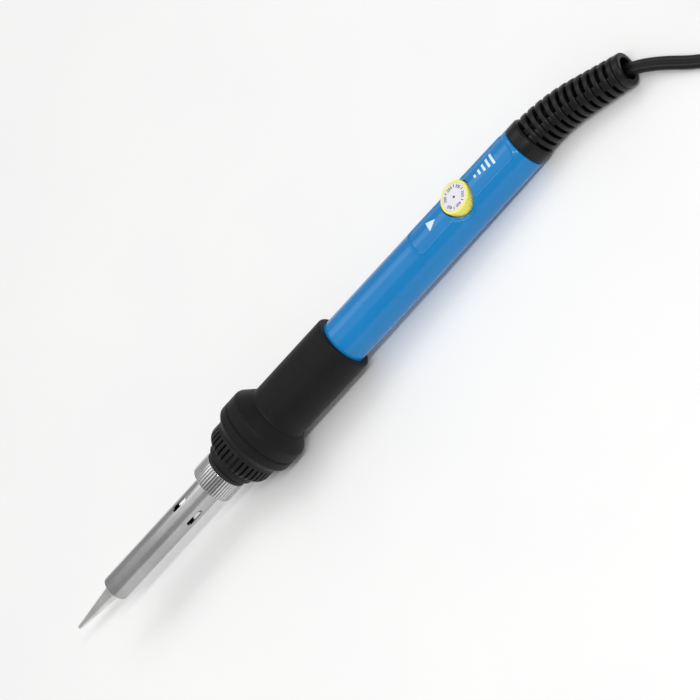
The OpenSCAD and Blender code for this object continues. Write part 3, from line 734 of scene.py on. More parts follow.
@dataclass
class Lead:
    """The twin mains lead from inside the strain relief, through its coil, to the plug."""

    width: float = 4.5
    thickness: float = 2.4
    core_r: float = 1.2
    core_offset: float = 1.05
    sides: int = 20
    step: float = 2.0
    centre: tuple[float, float] = (206.0, -13.3)
    entry_angle: float = 262.0
    entry_r: float = 30.55
    outer_r: float = 26.0
    inner_r: float = 21.2
    foot_z: float = 1.65
    layer: float = 2.5
    # Route in metres: through the relief, down to the ground and along it to the coil
    start: tuple[tuple[float, float, float], ...] = (
        (0.1120, -0.0010, 0.0073), (0.1173, -0.0022, 0.0070), (0.1225, -0.0039, 0.0067), (0.1277, -0.0057, 0.0065),
        (0.1329, -0.0075, 0.0062), (0.1380, -0.0095, 0.0057), (0.1422, -0.0121, 0.0050), (0.1462, -0.0153, 0.0042),
        (0.1502, -0.0191, 0.0033), (0.1543, -0.0234, 0.0025), (0.1587, -0.0274, 0.0018), (0.1635, -0.0311, 0.0014),
        (0.1687, -0.0342, 0.0013), (0.1740, -0.0368, 0.0013), (0.1795, -0.0389, 0.0013), (0.1850, -0.0405, 0.0013),
        (0.1906, -0.0417, 0.0013), (0.1962, -0.0427, 0.0013), (0.20175, -0.04355, 0.0013),
    )
    # From the coil's last turn down to the ground, round and up to the plug on the coil
    end: tuple[tuple[float, float, float], ...] = (
        (0.2115, -0.0393, 0.0091), (0.2170, -0.0394, 0.0088), (0.2225, -0.0394, 0.0079), (0.2280, -0.0393, 0.0062),
        (0.2335, -0.0393, 0.0043), (0.2384, -0.0386, 0.0028), (0.2435, -0.0365, 0.0020), (0.2478, -0.0331, 0.0018),
        (0.2512, -0.0288, 0.0023), (0.2533, -0.0237, 0.0035), (0.2540, -0.0183, 0.0051), (0.2533, -0.0129, 0.0071),
        (0.2512, -0.0078, 0.0094), (0.2478, -0.0035, 0.0117), (0.2435, -0.0001, 0.0139), (0.2384, 0.0020, 0.0156),
        (0.2330, 0.0027, 0.0167), (0.23005, 0.0027, 0.01695),
    )

    def coil(self) -> list[Vector]:
        """Works out the coil's turns: out, in and up a layer, in the order in which they were wound.

        Returns:
            Points in millimetres, about twenty-four to a turn.
        """
        legs = [(self.entry_angle, self.entry_r, 0), (325.0, self.outer_r, 0), (585.0, self.outer_r, 0)]
        heading = 585.0
        columns = (self.outer_r, self.inner_r)
        spot = 0
        for turn in range(7):
            layer = (turn + 1) // 2
            spot = 1 - spot if turn % 2 == 0 else spot
            heading += 35
            legs.append((heading, columns[spot], layer))
            heading += 290 if turn < 6 else 220
            legs.append((heading, columns[spot], layer))
        points = []
        for (a0, r0, l0), (a1, r1, l1) in zip(legs, legs[1:]):
            count = max(1, round((a1 - a0) / 15))
            for i in range(count):
                t = i / count
                eased = t * t * (3 - 2 * t)
                points.append(self.spot(a0 + (a1 - a0) * t, r0 + (r1 - r0) * eased, l0 + (l1 - l0) * eased))
        points.append(self.spot(*legs[-1]))
        return points

    def spot(self, angle: float, radius: float, layer: float) -> Vector:
        """Gives a point of the coil in millimetres from its angle in degrees, its radius and its layer."""
        a = math.radians(angle)
        return Vector((self.centre[0] + radius * math.cos(a), self.centre[1] + radius * math.sin(a),
                       self.foot_z + self.layer * layer))

    def path(self) -> list[Vector]:
        """Draws one smooth line through the route and the coil.

        Returns:
            Points in millimetres, one step apart.
        """
        knots = [Vector(p) / MM for p in self.start] + self.coil()[1:] + [Vector(p) / MM for p in self.end]
        knots = [2 * knots[0] - knots[1]] + knots + [2 * knots[-1] - knots[-2]]
        fine = []
        for a, b, c, d in zip(knots, knots[1:], knots[2:], knots[3:]):
            count = max(2, round((c - b).length / 0.5))
            for i in range(count):
                t = i / count
                fine.append(0.5 * (2 * b + (c - a) * t + (2 * a - 5 * b + 4 * c - d) * t**2
                                   + (3 * b - a - 3 * c + d) * t**3))
        fine.append(knots[-2])
        line, run = [fine[0]], 0.0
        for a, b in zip(fine, fine[1:]):
            run += (b - a).length
            if run >= self.step:
                line.append(b)
                run = 0.0
        if (line[-1] - fine[-1]).length > 0.3 * self.step:
            line.append(fine[-1])
        return line

    def section(self, angle: float) -> float:
        """Gives the twin section's radius at an angle from its width, in radians."""
        lean = self.core_offset * abs(math.cos(angle))
        return lean + math.sqrt(self.core_r**2 - (self.core_offset * math.sin(angle)) ** 2)

    def build(self) -> tuple[bpy.types.Object, list[Vector]]:
        """Sweeps the twin section along the path.

        Returns:
            The lead and the points that it follows, in metres.
        """
        line = self.path()
        last = len(line) - 1

        def place(station: int, slot: int) -> Vector:
            """Gives a slot's point on a ring, with the lead's width kept level."""
            heading = (line[min(last, station + 1)] - line[max(0, station - 1)]).normalized()
            across = Vector((0, 0, 1)).cross(heading).normalized()
            angle = math.tau * (slot + 0.5) / self.sides
            reach = self.section(angle)
            return line[station] + (across * math.cos(angle) + heading.cross(across) * math.sin(angle)) * reach

        bm = lofted(len(line), self.sides, place, capped=True)
        made = piece("mains_lead", bm, JACKET, Body.HANDLE, ("cord_lead", "cord_coil", "cord_tail"),
                     GROUND, 50.0)
        length = sum((b - a).length for a, b in zip(line, line[1:]))
        LOG.info("lead length %.1f mm", length)
        return made, [p * MM for p in line]


@dataclass
class Tie:
    """The strap round the coil."""

    centre: tuple[float, float] = (206.0, -13.3)
    angle: float = 215.0
    inner: float = 18.37
    outer: float = 28.35
    top: float = 10.55
    width: float = 8.8
    thickness: float = 0.3
    corner: float = 1.6

    def build(self) -> bpy.types.Object:
        """Makes the strap as a rounded loop with thickness.

        Returns:
            The strap.
        """
        bm = bmesh.new()
        bmesh.ops.create_circle(bm, cap_ends=False, segments=4, radius=math.sqrt(0.5))
        bmesh.ops.rotate(bm, cent=(0, 0, 0), matrix=Matrix.Rotation(math.radians(45), 3, "Z"), verts=bm.verts[:])
        bmesh.ops.scale(bm, vec=(self.outer - self.inner, self.top - 0.2, 1), verts=bm.verts[:])
        bmesh.ops.bevel(bm, geom=bm.verts[:], offset=self.corner, offset_type="OFFSET", affect="VERTICES",
                        segments=6, profile=0.5, material=-1)
        stand = Matrix.Translation(((self.inner + self.outer) / 2, self.width / 2, self.top / 2 + 0.1))
        bm.transform(stand @ Matrix.Rotation(math.radians(90), 4, "X"))
        made = bmesh.ops.extrude_edge_only(bm, edges=bm.edges[:])["geom"]
        bmesh.ops.translate(bm, vec=(0, -self.width, 0), verts=[g for g in made if isinstance(g, bmesh.types.BMVert)])
        bmesh.ops.recalc_face_normals(bm, faces=bm.faces[:])
        bmesh.ops.solidify(bm, geom=bm.faces[:], thickness=self.thickness)
        bm.transform(Matrix.Translation((*self.centre, 0)) @ Matrix.Rotation(math.radians(self.angle), 4, "Z"))
        bmesh.ops.recalc_face_normals(bm, faces=bm.faces[:])
        return piece("coil_strap", bm, STRAP, Body.HANDLE, ("coil_tie",), GROUND)


@dataclass
class Plug:
    """The moulded two-blade plug, which lies on the coil and points back along the iron."""

    relief_x: float = 230.0
    y: float = 2.7
    z: float = 16.95
    relief_length: float = 12.0
    body_length: float = 24.0
    half_width: float = 11.0
    half_thickness: float = 6.45
    blade_reach: float = 16.0
    blade_gap: float = 12.7
    blade_width: float = 6.35
    blade_thickness: float = 1.5
    blade_hole_r: float = 1.6

    def laid(self) -> Matrix:
        """Sets the plug's own x, from the lead to the blades, where it lies."""
        return GROUND @ Matrix.Translation((self.relief_x, self.y, self.z)) @ Matrix.Rotation(math.pi, 4, "Z")

    def relief(self) -> bpy.types.Object:
        """Makes the plug's own tapered relief with rings round it."""
        outline: list[Corner] = [(0.05, 0.0, 0), (0.05, 2.85, 0.4)]
        for i in range(5):
            x = 1.2 + i * 2.2
            r = 3.0 + i * 0.3
            outline += [(x, r, 0.25), (x + 1.2, r + 0.1, 0.25), (x + 1.25, r - 0.5, 0.15), (x + 2.1, r - 0.4, 0.15)]
        outline += [(self.relief_length - 0.05, 4.1, 0), (self.relief_length - 0.05, 0.0, 0)]
        bm = spun(filleted(outline), 48)
        return piece("plug_neck", bm, PLUG, Body.HANDLE, ("plug_relief",), self.laid())

    def body(self) -> bpy.types.Object:
        """Makes the plug's body, waisted where fingers hold it, with ribs across the waist."""
        stations = 60
        slots = 72

        def place(station: int, slot: int) -> Vector:
            """Gives a slot's point on the body's skin."""
            t = station / (stations - 1)
            swell = min(1.0, t / 0.55)
            swell = swell * swell * (3 - 2 * swell)
            width = 5.2 + (self.half_width - 5.2) * swell
            height = 4.6 + (self.half_thickness - 4.6) * swell
            edge = min(t, 1 - t) * self.body_length
            shrink = 1 - 0.09 * max(0.0, 1 - edge / 1.1) ** 2
            rib = 0.35 * max(0.0, math.cos(math.tau * t * self.body_length / 2.4)) if 0.2 < t < 0.62 else 0.0
            angle = math.tau * slot / slots
            c, s = math.cos(angle), math.sin(angle)
            power = 0.55
            y = math.copysign(abs(c) ** power, c) * (width - rib * abs(c)) * shrink
            z = math.copysign(abs(s) ** power, s) * height * shrink
            return Vector((self.relief_length + t * self.body_length, y, z))

        bm = lofted(stations, slots, place, capped=True)
        return piece("plug_shell", bm, PLUG, Body.HANDLE, ("plug_body",), self.laid(), 50.0)

    def blades(self) -> bpy.types.Object:
        """Makes the two blades, each with rounded corners and a hole near its end."""
        front = self.relief_length + self.body_length
        parts = []
        for side in (-1, 1):
            y = side * self.blade_gap / 2
            middle = (front + self.blade_reach / 2 - 2.0, y, 0.0)
            blade = block((self.blade_reach + 4.0, self.blade_thickness, self.blade_width), middle, 0.25)
            hole_x = front + self.blade_reach - 4.0
            hole = cylinder(Vector((hole_x, y - 2, 0)), Vector((hole_x, y + 2, 0)), self.blade_hole_r, 32)
            parts.append(joined(blade, hole, "DIFFERENCE"))
        return piece("plug_contacts", merged(parts), BLADE, Body.HANDLE, ("plug_blades",), self.laid())

    def build(self) -> list[bpy.types.Object]:
        """Makes the plug's three pieces."""
        return [self.relief(), self.body(), self.blades()]


# ---------------------------------------------------------------- tip, sleeve and nut


@dataclass
class Barrel:
    """The plated tip and the steel sleeve that carries it."""

    tip_reach: float = 21.0
    point_r: float = 0.65
    cone_r: float = 2.95
    shank_r: float = 3.25
    shank_end: float = 45.65
    bore_x: float = 24.15
    bore_r: float = 2.1
    sleeve_r: float = 5.0
    wall: float = 0.5
    tail_x: float = 75.3
    flange_x: float = 76.85
    flange_r: float = 6.3
    vent_x: float = 60.8
    vent_reach: float = 5.7
    vent_width: float = 1.9
    vent_turn: float = -5.0

    def tip(self) -> bpy.types.Object:
        """Makes the tip, from its round point to the end of its shank."""
        outline: list[Corner] = [
            (0.0, 0.0, 0), (0.05, self.point_r * 0.98, 0.5), (self.tip_reach + 0.6, self.cone_r, 0),
            (self.tip_reach + 0.65, self.shank_r, 0.2), (self.shank_end, self.shank_r, 0.3),
            (self.shank_end, self.bore_r, 0.2), (self.bore_x, self.bore_r, 0), (self.bore_x, 0.0, 0),
        ]
        bm = spun(filleted(outline, 6))
        return piece("plated_tip", bm, TIP, Body.BARREL, ("tip",))

    def sleeve(self) -> bpy.types.Object:
        """Makes the sleeve: a rolled front lip, a flanged tail and four slots through its wall."""
        front = self.tip_reach
        inner = self.sleeve_r - self.wall
        outline: list[Corner] = [
            (front, self.cone_r + 0.1, 0.1), (front, self.sleeve_r, 0.7), (self.tail_x, self.sleeve_r, 0.05),
            (self.tail_x, self.sleeve_r - 0.2, 0), (self.flange_x, self.sleeve_r - 0.2, 0),
            (self.flange_x, self.flange_r, 0.15), (self.flange_x + 0.8, self.flange_r, 0.15),
            (self.flange_x + 0.8, inner, 0), (front + 0.6, inner, 0.3), (front + 0.6, self.cone_r + 0.1, 0.1),
        ]
        bm = spun(filleted(outline, 6), 128)
        for quarter in range(4):
            bm = joined(bm, self.slot_cutter(quarter), "DIFFERENCE")
        return piece("steel_sleeve", bm, SLEEVE, Body.BARREL, ("tip_sleeve",))

    def slot_cutter(self, quarter: int) -> bmesh.types.BMesh:
        """Makes the round-ended bar that cuts one slot.

        Args:
            quarter: which of the four slots it is.

        Returns:
            The bar.
        """
        half = self.vent_width / 2
        bm = block((self.vent_reach + self.vent_width, self.vent_width, self.sleeve_r), (0, 0, 0))
        upright = [edge for edge in bm.edges if abs((edge.verts[0].co - edge.verts[1].co).z) > 1]
        bmesh.ops.bevel(bm, geom=upright, offset=half * 0.999, offset_type="OFFSET", affect="EDGES", segments=8,
                        profile=0.5, material=-1)
        place = Matrix.Translation((self.vent_x + self.vent_reach / 2, 0, self.sleeve_r))
        bm.transform(Matrix.Rotation(math.radians(self.vent_turn + 90 * quarter), 4, "X") @ place)
        return bm

    def build(self) -> None:
        """Makes both pieces."""
        self.tip()
        self.sleeve()


@dataclass
class Nut:
    """The knurled nut that clamps the sleeve's flange on the nipple."""

    front: float = 75.5
    back: float = 83.5
    radius: float = 8.0
    flutes: int = 48
    depth: float = 0.6
    bore_r: float = 5.15
    thread_r: float = 6.75
    lip: float = 1.3

    def knurl(self, angle: float, x: float, r: float) -> float:
        """Cuts a V between flutes, and lets it fade out at the nut's two round edges.

        Args:
            angle: the angle round the axis.
            x: the place along the axis; not used.
            r: the radius before the cut.

        Returns:
            The radius after it.
        """
        if r < self.radius - 1.0:
            return r
        phase = (angle * self.flutes / math.tau) % 1.0
        groove = max(0.0, 1 - abs(phase - 0.5) / 0.27)
        return max(self.radius - 1.0, min(r, self.radius - self.depth * groove))

    def build(self) -> None:
        """Makes the nut."""
        corners: list[Corner] = [
            (self.front, self.bore_r, 0.15), (self.front, self.radius, 0.9), (self.back, self.radius, 0.35),
            (self.back, self.thread_r, 0.2), (self.front + self.lip, self.thread_r, 0),
            (self.front + self.lip, self.bore_r, 0),
        ]
        fractions = (0.0, 0.22, 0.36, 0.5, 0.64, 0.78)
        angles = [math.tau * (i + f) / self.flutes for i in range(self.flutes) for f in fractions]
        bm = turned(filleted(corners, 6), angles, self.knurl)
        piece("knurled_nut", bm, NUT, Body.NUT, ("clamp_nut",), sharp=24.0)


@dataclass
class Nipple:
    """The threaded nipple and the fibre ring that the nut clamps."""

    start: float = 78.95
    thread_from: float = 79.25
    pitch: float = 1.0
    threads: int = 4
    thread_r: float = 6.7
    thread_depth: float = 0.35
    plain_r: float = 6.55
    bore_r: float = 4.1
    end: float = 97.55
    ring_x: float = 83.55
    ring_end: float = 84.95
    ring_inner: float = 6.75
    ring_outer: float = 7.75

    def build(self) -> None:
        """Makes the nipple and the ring."""
        root = self.thread_r - self.thread_depth
        corners: list[Corner] = [(self.start, self.bore_r, 0.1), (self.start, root, 0)]
        for i in range(self.threads):
            x = self.thread_from + i * self.pitch
            corners += [(x, root, 0.05), (x + self.pitch / 2, self.thread_r, 0.05)]
        end = self.thread_from + self.threads * self.pitch
        corners += [(end, root, 0), (end + 0.2, self.plain_r, 0.05), (self.end, self.plain_r, 0), (self.end, self.bore_r, 0)]
        bm = spun(filleted(corners, 2))
        piece("nipple", bm, NIPPLE, Body.HANDLE, ("threaded_nipple",))
        ring: list[Corner] = [
            (self.ring_x, self.ring_inner, 0.1), (self.ring_x, self.ring_outer, 0.3),
            (self.ring_end, self.ring_outer, 0.3), (self.ring_end, self.ring_inner, 0.1),
        ]
        piece("fibre_ring", spun(filleted(ring)), FIBRE, Body.SEAT_RING, ("lock_ring",))


# ---------------------------------------------------------------- collar and grip


@dataclass
class Collar:
    """The moulded front collar: a round neck, then a ring with slots cut across it."""

    front: float = 85.55
    neck_r: float = 9.1
    ribbed_x: float = 88.45
    ribbed_end: float = 96.0
    ribbed_r: float = 12.25
    floor_r: float = 10.65
    slot_from: float = 88.95
    slot_to: float = 95.1
    slots: int = 36
    blanks: tuple[int, ...] = (31, 32)
    spigot_r: float = 7.05
    spigot_end: float = 107.0
    nipple_r: float = 6.6
    nipple_end: float = 97.6
    bore_r: float = 4.5

    def ribs(self, angle: float, x: float, r: float) -> float:
        """Cuts the slots down to their floor, apart from the two that are left out.

        Args:
            angle: the angle round the axis.
            x: the place along the axis.
            r: the radius before the cut.

        Returns:
            The radius after it.
        """
        turn = angle * self.slots / math.tau
        index = int(turn) % self.slots
        off = abs(turn - int(turn) - 0.5)
        if index in self.blanks or off > 0.18 or not self.slot_from < x < self.slot_to or r < self.spigot_r + 1:
            return r
        return min(r, self.floor_r)

    def build(self) -> None:
        """Makes the collar."""
        swell: list[Corner] = []
        for step in range(9):
            a = math.radians(-80 + 10 * step)
            swell.append((self.ribbed_x + 3.4 + 3.2 * math.sin(a), self.ribbed_r - 3.2 + 3.2 * math.cos(a), 0))
        corners: list[Corner] = [
            (self.front, self.nipple_r, 0.1), (self.front, self.neck_r, 1.7), (self.ribbed_x - 0.2, self.neck_r, 0.1),
            (self.ribbed_x, self.neck_r - 0.4, 0.1), *swell, (self.slot_to - 0.02, self.ribbed_r, 0),
            (self.slot_to + 0.02, self.ribbed_r, 0), (self.ribbed_end, self.ribbed_r, 0.3),
            (self.ribbed_end, self.spigot_r, 0), (self.spigot_end, self.spigot_r, 0.4),
            (self.spigot_end, self.bore_r, 0), (self.nipple_end, self.bore_r, 0), (self.nipple_end, self.nipple_r, 0),
        ]
        fractions = (0.0, 0.15, 0.31, 0.33, 0.42, 0.58, 0.67, 0.69, 0.85)
        angles = [math.tau * (i + f) / self.slots for i in range(self.slots) for f in fractions]
        bm = turned(filleted(corners, 6), angles, self.ribs)
        piece("ribbed_collar", bm, COLLAR, Body.HANDLE, ("front_collar",), sharp=28.0)


@dataclass
class Grip:
    """The rubber grip with its finger guard."""

    front: float = 96.05
    groove_x: float = 102.5
    guard_end: float = 111.5
    end: float = 146.5
    guard_r: float = 14.85
    tube_r: float = 10.7
    bore_r: float = 8.53
    front_r: float = 12.3

    def build(self) -> None:
        """Makes the grip."""
        corners: list[Corner] = [
            (self.front, self.bore_r, 0), (self.front, self.front_r, 0.15), (self.front + 0.2, self.front_r + 0.15, 0.1),
            (self.groove_x - 3.4, self.guard_r, 1.4), (self.groove_x - 0.5, self.guard_r, 0.15),
            (self.groove_x, self.guard_r - 0.5, 0.1), (self.groove_x + 0.5, self.guard_r, 0.15),
            (self.groove_x + 4.6, self.guard_r, 1.6), (self.guard_end - 0.2, self.tube_r + 0.7, 0.3),
            (self.guard_end + 0.2, self.tube_r + 0.2, 0.3), (self.guard_end + 1.0, self.tube_r, 0.4),
            (self.end, self.tube_r, 0.8), (self.end, self.bore_r, 0.1),
        ]
        bm = spun(filleted(corners, 6), 160)
        piece("rubber_sleeve", bm, GRIP, Body.HANDLE, ("rubber_grip",))


# ---------------------------------------------------------------- handle and dial


@dataclass
class Handle:
    """The blue shell with its sunk panel, the dial's well and what is printed on it."""

    front: float = 97.0
    taper_from: float = 146.5
    end: float = 237.0
    radius: float = 8.5
    end_r: float = 8.0
    cavity_r: float = 6.3
    seat_r: float = 7.1
    seat_end: float = 107.5
    back_wall: float = 234.4
    neck_r: float = 4.65
    panel_from: float = 189.4
    panel_to: float = 235.4
    panel_half: float = 5.18
    panel_corner: float = 2.5
    panel_depth: float = 0.4
    lip: float = 0.13
    dial_x: float = 211.0
    ring_r: float = 7.1
    well_r: float = 6.3
    well_floor: float = 4.0
    well_block_r: float = 7.2

    def skin(self, x: float) -> float:
        """Gives the shell's radius at a place along the axis, before the panel is sunk."""
        u = max(0.0, x - self.taper_from) / (self.end - self.taper_from)
        return self.radius - (self.radius - self.end_r) * u * u

    def outside_panel(self, angle: float, x: float) -> float:
        """Measures how far a point lies outside the panel's outline.

        Args:
            angle: the angle from the dial's side, in radians.
            x: the place along the axis.

        Returns:
            The distance in millimetres, negative inside the panel.
        """
        angle = (angle + math.pi) % math.tau - math.pi
        r = self.skin(x)
        half = (self.panel_to - self.panel_from) / 2
        dx = abs(x - self.panel_from - half) - half + self.panel_corner
        dy = abs(angle) * r - self.panel_half + self.panel_corner
        flat = math.hypot(max(dx, 0), max(dy, 0)) + min(max(dx, dy), 0) - self.panel_corner
        if abs(angle) > math.pi / 2:
            return flat
        ring = math.hypot(x - self.dial_x, r * math.sin(angle)) - self.ring_r
        blend = max(0.0, 1 - abs(flat - ring) / 0.8)
        return min(flat, ring) - 0.2 * blend * blend

    def surface(self, angle: float, x: float, r: float) -> float:
        """Sinks the panel and raises the two fine lines round it.

        Args:
            angle: the angle from the dial's side.
            x: the place along the axis.
            r: the radius before that.

        Returns:
            The radius after it.
        """
        if r < self.skin(x) - 0.01 or x < self.panel_from - 3:
            return r
        off = self.outside_panel(angle, x)
        t = min(1.0, max(0.0, (0.1 - off) / 0.45))
        sunk = self.panel_depth * t * t * (3 - 2 * t)
        line = self.lip * max(0.0, 1 - ((off - 0.45) / 0.32) ** 2)
        return r - sunk + line

    def shell(self) -> bpy.types.Object:
        """Makes the shell: a hollow tapered tube with a back wall, and a round well for the dial."""
        outline = [(self.front, self.seat_r), (self.front, self.radius - 0.3), (self.front + 0.3, self.radius)]
        outline += [(x, self.skin(x)) for x in (120.0, 146.5, 155.0, 165.0, 175.0, 184.0)]
        x = self.panel_from - 1.6
        while x < self.end - 0.5:
            outline.append((x, self.skin(x)))
            x += 0.26
        for step in range(1, 6):
            a = math.radians(18 * step)
            outline.append((self.end - 0.5 + 0.5 * math.sin(a), self.end_r - 0.5 + 0.5 * math.cos(a)))
        outline += [
            (self.end, self.neck_r), (self.back_wall, self.neck_r), (self.back_wall, self.cavity_r),
            (self.seat_end, self.cavity_r), (self.seat_end, self.seat_r),
        ]
        fine, coarse = math.radians(1.5), math.radians(5)
        angles = [i * fine for i in range(-43, 44)]
        rest = math.tau - 86 * fine
        count = round(rest / coarse)
        angles += [angles[86] + rest * i / count for i in range(1, count)]
        bm = turned(outline, angles, self.surface)
        well = Vector((self.dial_x, 0, self.well_floor))
        post = cylinder(well - Vector((0, 0, 1)), well + Vector((0, 0, 5)), self.well_block_r, 96)
        near, far, inside = self.dial_x - 9, self.dial_x + 9, self.skin(self.dial_x) - 0.9
        post = joined(post, spun([(near, 0.0), (near, inside), (far, inside), (far, 0.0)]), "INTERSECT")
        bm = joined(bm, post, "UNION")
        bm = joined(bm, cylinder(well, well + Vector((0, 0, 8)), self.well_r, 96), "DIFFERENCE")
        bm = joined(bm, cylinder(well - Vector((0, 0, 3)), well + Vector((0, 0, 3)), 2.0, 48), "DIFFERENCE")
        return piece("blue_shell", bm, HANDLE, Body.HANDLE, ("handle_shell",), sharp=35.0)

    def wrap(self, bm: bmesh.types.BMesh) -> None:
        """Lays a flat print on the panel's floor.

        Args:
            bm: the print, flat, with x along the axis and y across.
        """
        for vert in bm.verts:
            r = self.skin(vert.co.x) - self.panel_depth + 0.02 + vert.co.z
            vert.co = Vector((vert.co.x, r * math.sin(vert.co.y / r), r * math.cos(vert.co.y / r)))

    def marks(self) -> bpy.types.Object:
        """Prints an arrowhead that points at the dial and a row of five rising bars."""
        parts = []
        arrow = bmesh.new()
        bmesh.ops.create_circle(arrow, cap_ends=True, segments=3, radius=1.0)
        bmesh.ops.rotate(arrow, cent=(0, 0, 0), matrix=Matrix.Rotation(math.radians(-90), 3, "Z"), verts=arrow.verts[:])
        bmesh.ops.scale(arrow, vec=(3.7 / 1.5, 3.8 / math.sqrt(3), 1), verts=arrow.verts[:])
        bmesh.ops.translate(arrow, vec=(198.6, 0, 0), verts=arrow.verts[:])
        parts.append(arrow)
        for i in range(5):
            bar = bmesh.new()
            bmesh.ops.create_grid(bar, x_segments=1, y_segments=4, size=0.5)
            bmesh.ops.scale(bar, vec=(0.9, 1.2 + 0.8 * i, 1), verts=bar.verts[:])
            bmesh.ops.translate(bar, vec=(220.6 + i * 2.0, 0, 0), verts=bar.verts[:])
            parts.append(bar)
        bm = merged(parts)
        bmesh.ops.subdivide_edges(bm, edges=bm.edges[:], cuts=3, use_grid_fill=True)
        bmesh.ops.triangulate(bm, faces=bm.faces[:])
        bmesh.ops.recalc_face_normals(bm, faces=bm.faces[:])
        bmesh.ops.solidify(bm, geom=bm.faces[:], thickness=0.02)
        self.wrap(bm)
        return piece("printed_marks", bm, WHITE_INK, Body.HANDLE)

    def build(self) -> None:
        """Makes the shell and its print."""
        self.shell()
        self.marks()


@dataclass
class Dial:
    """The heat dial: a ridged knob with a printed face."""

    x: float = 211.0
    radius: float = 5.85
    foot: float = 4.3
    top: float = 8.5
    ridges: int = 48
    ridge_depth: float = 0.32
    plate_r: float = 4.85
    plate: float = 0.3
    shaft_r: float = 1.65
    bore_top: float = 7.6
    numbers: tuple[int, ...] = (200, 250, 300, 350, 400, 450)
    number_size: float = 1.5
    first_angle: float = 150.0
    step: float = -60.0

    def laid(self) -> Matrix:
        """Stands the dial's own axis, drawn along x, up out of the handle."""
        return LAY @ Matrix.Translation((self.x, 0, 0)) @ Matrix.Rotation(math.radians(-90), 4, "Y")

    def ridge(self, angle: float, x: float, r: float) -> float:
        """Cuts fine ridges down the knob's side."""
        if r < self.radius - 0.9:
            return r
        return min(r, self.radius - self.ridge_depth * (0.5 + 0.5 * math.cos(angle * self.ridges)))

    def knob(self) -> bpy.types.Object:
        """Makes the knob."""
        recess = self.top - self.plate
        corners: list[Corner] = [
            (recess, 0, 0), (recess, self.plate_r + 0.05, 0), (self.top, self.plate_r + 0.05, 0.08),
            (self.top, self.radius, 0.8), (self.foot, self.radius, 0.15), (self.foot, self.shaft_r, 0.1),
            (self.bore_top, self.shaft_r, 0), (self.bore_top, 0, 0),
        ]
        bm = turned(filleted(corners, 5), even(self.ridges * 6), self.ridge)
        return piece("dial_body", bm, DIAL, Body.DIAL, ("dial_knob",), self.laid(), 40.0)

    def face(self) -> bpy.types.Object:
        """Makes the printed disc."""
        low, high = self.top - self.plate, self.top - 0.05
        corners: list[Corner] = [(low, 0, 0), (low, self.plate_r, 0.02), (high, self.plate_r, 0.08), (high, 0, 0)]
        bm = spun(filleted(corners))
        return piece("dial_disc", bm, DIAL_FACE, Body.DIAL, ("dial_plate",), self.laid())

    def word(self, text: str, angle: float) -> bmesh.types.BMesh:
        """Makes a number that stands on the disc and reads round its edge.

        Args:
            text: what it says.
            angle: where it stands, in degrees from the iron's axis towards its left side.

        Returns:
            The number.
        """
        curve = bpy.data.curves.new("number", "FONT")
        curve.body = text
        curve.size = self.number_size
        curve.align_x = "CENTER"
        curve.align_y = "CENTER"
        curve.extrude = 0.01
        curve.offset = 0.02
        holder = bpy.data.objects.new("number", curve)
        bpy.context.scene.collection.objects.link(holder)
        bpy.context.view_layer.update()
        mesh = bpy.data.meshes.new_from_object(holder)
        bm = bmesh.new()
        bm.from_mesh(mesh)
        bpy.data.objects.remove(holder)
        bpy.data.curves.remove(curve)
        bpy.data.meshes.remove(mesh)
        spot = Matrix.Rotation(math.radians(angle), 4, "Z") @ Matrix.Translation((3.55, 0, self.top - 0.035))
        bm.transform(spot @ Matrix.Rotation(math.radians(-90), 4, "Z"))
        return bm

    def print(self) -> bpy.types.Object:
        """Prints the numbers, a tick between each two and a small mark in the middle."""
        parts = []
        for i, number in enumerate(self.numbers):
            angle = self.first_angle + i * self.step
            parts.append(self.word(str(number), angle))
            if i < len(self.numbers) - 1:
                tick = block((1.0, 0.28, 0.02), (3.9, 0, self.top - 0.035))
                tick.transform(Matrix.Rotation(math.radians(angle + self.step / 2), 4, "Z"))
                parts.append(tick)
        dot = cylinder(Vector((0, 0, self.top - 0.045)), Vector((0, 0, self.top - 0.025)), 0.45, 24)
        parts.append(dot)
        laid = LAY @ Matrix.Translation((self.x, 0, 0))
        return piece("dial_print", merged(parts), DARK_INK, Body.DIAL, (), laid)

    def build(self) -> None:
        """Makes the knob, its disc and its print."""
        self.knob()
        self.face()
        self.print()


# ---------------------------------------------------------------- strain relief


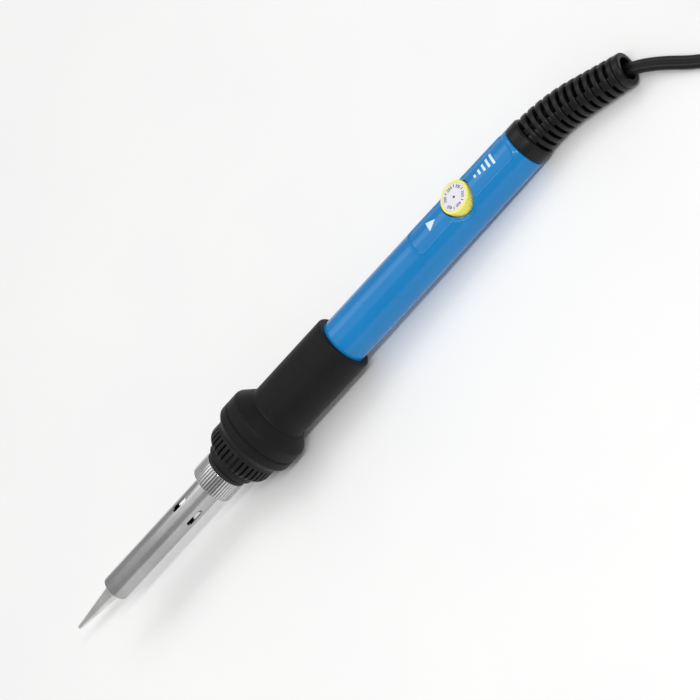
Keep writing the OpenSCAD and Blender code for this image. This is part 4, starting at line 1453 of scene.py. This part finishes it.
@dataclass
class StrainRelief:
    """The ribbed relief behind the handle, bent to the side that the lead goes."""

    start: float = 237.05
    collar: float = 5.0
    bend: float = 19.0
    bend_length: float = 20.0
    root_r: float = 7.9
    tip_r: float = 5.7
    rings: int = 12
    pitch: float = 3.05
    ring_width: float = 1.9
    end_width: float = 2.7
    bore_r: float = 3.6
    neck_r: float = 4.6
    anchor_r: float = 6.1
    wall_x: float = 234.4
    web: float = 3.2

    @property
    def length(self) -> float:
        """Gives the relief's length behind the handle."""
        return self.collar + self.rings * self.pitch + self.end_width

    def radius(self, d: float) -> float:
        """Gives a ring's radius at a distance from the handle."""
        first = self.root_r - 0.5
        return first - (first - self.tip_r) * (d - self.collar) / (self.length - self.collar)

    def bent(self, bm: bmesh.types.BMesh) -> bmesh.types.BMesh:
        """Bends what was built straight, with x as the distance from the handle.

        Args:
            bm: the straight piece.

        Returns:
            The same piece, bent.
        """
        arc_r = self.bend_length / math.radians(self.bend)
        for vert in bm.verts:
            d, y, z = vert.co
            turn = math.radians(self.bend) * min(1.0, max(0.0, (d - self.collar) / self.bend_length))
            past = max(0.0, d - self.collar - self.bend_length)
            near = min(d, self.collar)
            x = self.start + near + arc_r * math.sin(turn) + past * math.cos(turn)
            side = -arc_r * (1 - math.cos(turn)) - past * math.sin(turn)
            vert.co = Vector((x + y * math.sin(turn), side + y * math.cos(turn), z))
        return bm

    def build(self) -> None:
        """Makes the relief's collar, its rings, the webs between them and its wide end."""
        back = self.wall_x - self.start
        corners: list[Corner] = [
            (back - 2.05, self.bore_r, 0), (back - 2.05, self.anchor_r, 0.2), (back - 0.05, self.anchor_r, 0.1),
            (back - 0.05, self.neck_r, 0), (0.0, self.neck_r, 0), (0.0, self.root_r, 0.5),
            (self.collar - 0.8, self.root_r, 0.5), (self.collar, self.root_r - 0.5, 0.3),
            (self.collar, self.bore_r, 0.2),
        ]
        parts = [spun(filleted(corners), 72)]
        for i in range(1, self.rings + 1):
            d = self.collar + i * self.pitch
            r = self.radius(d)
            ring: list[Corner] = [
                (d - self.ring_width, self.bore_r, 0.2), (d - self.ring_width, r, 0.45),
                (d, r, 0.45), (d, self.bore_r, 0.2),
            ]
            parts.append(spun(filleted(ring), 64))
        end: list[Corner] = [
            (self.length - self.end_width, self.bore_r + 0.3, 0.2), (self.length - self.end_width, self.tip_r, 0.5),
            (self.length, self.tip_r, 0.6), (self.length, self.bore_r + 0.3, 0.3),
        ]
        parts.append(spun(filleted(end), 64))
        for i in range(self.rings + 1):
            d = self.collar + i * self.pitch
            tall = self.radius(d) - self.bore_r - 0.7
            for turn in (45, 135, 225, 315):
                web = block((self.pitch - self.ring_width + 0.3, self.web, tall),
                            (d + (self.pitch - self.ring_width) / 2, 0, self.bore_r + 0.1 + tall / 2), 0.15)
                web.transform(Matrix.Rotation(math.radians(turn), 4, "X"))
                parts.append(web)
        bm = self.bent(merged(parts))
        piece("ribbed_relief", bm, RELIEF, Body.HANDLE, ("strain_relief",))


# ---------------------------------------------------------------- all of it


def dress_inside() -> None:
    """Gives each piece that keeps the frame's shape its own finish."""
    for name, finish in INNER_FINISHES.items():
        node = frame["nodes"][name]
        node.data.materials.clear()
        node.data.materials.append(finish.material())
        LOG.info("%s: %s", name, finish.name)


def main() -> None:
    """Builds the scene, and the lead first."""
    logging.basicConfig(level=logging.INFO, format="%(message)s")
    Studio().build()
    lead, path = Lead().build()
    strap = Tie().build()
    plug = Plug().build()
    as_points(path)
    Barrel().build()
    Nut().build()
    Nipple().build()
    Collar().build()
    Grip().build()
    Handle().build()
    Dial().build()
    StrainRelief().build()
    dress_inside()


if __name__ == "__main__":
    main()
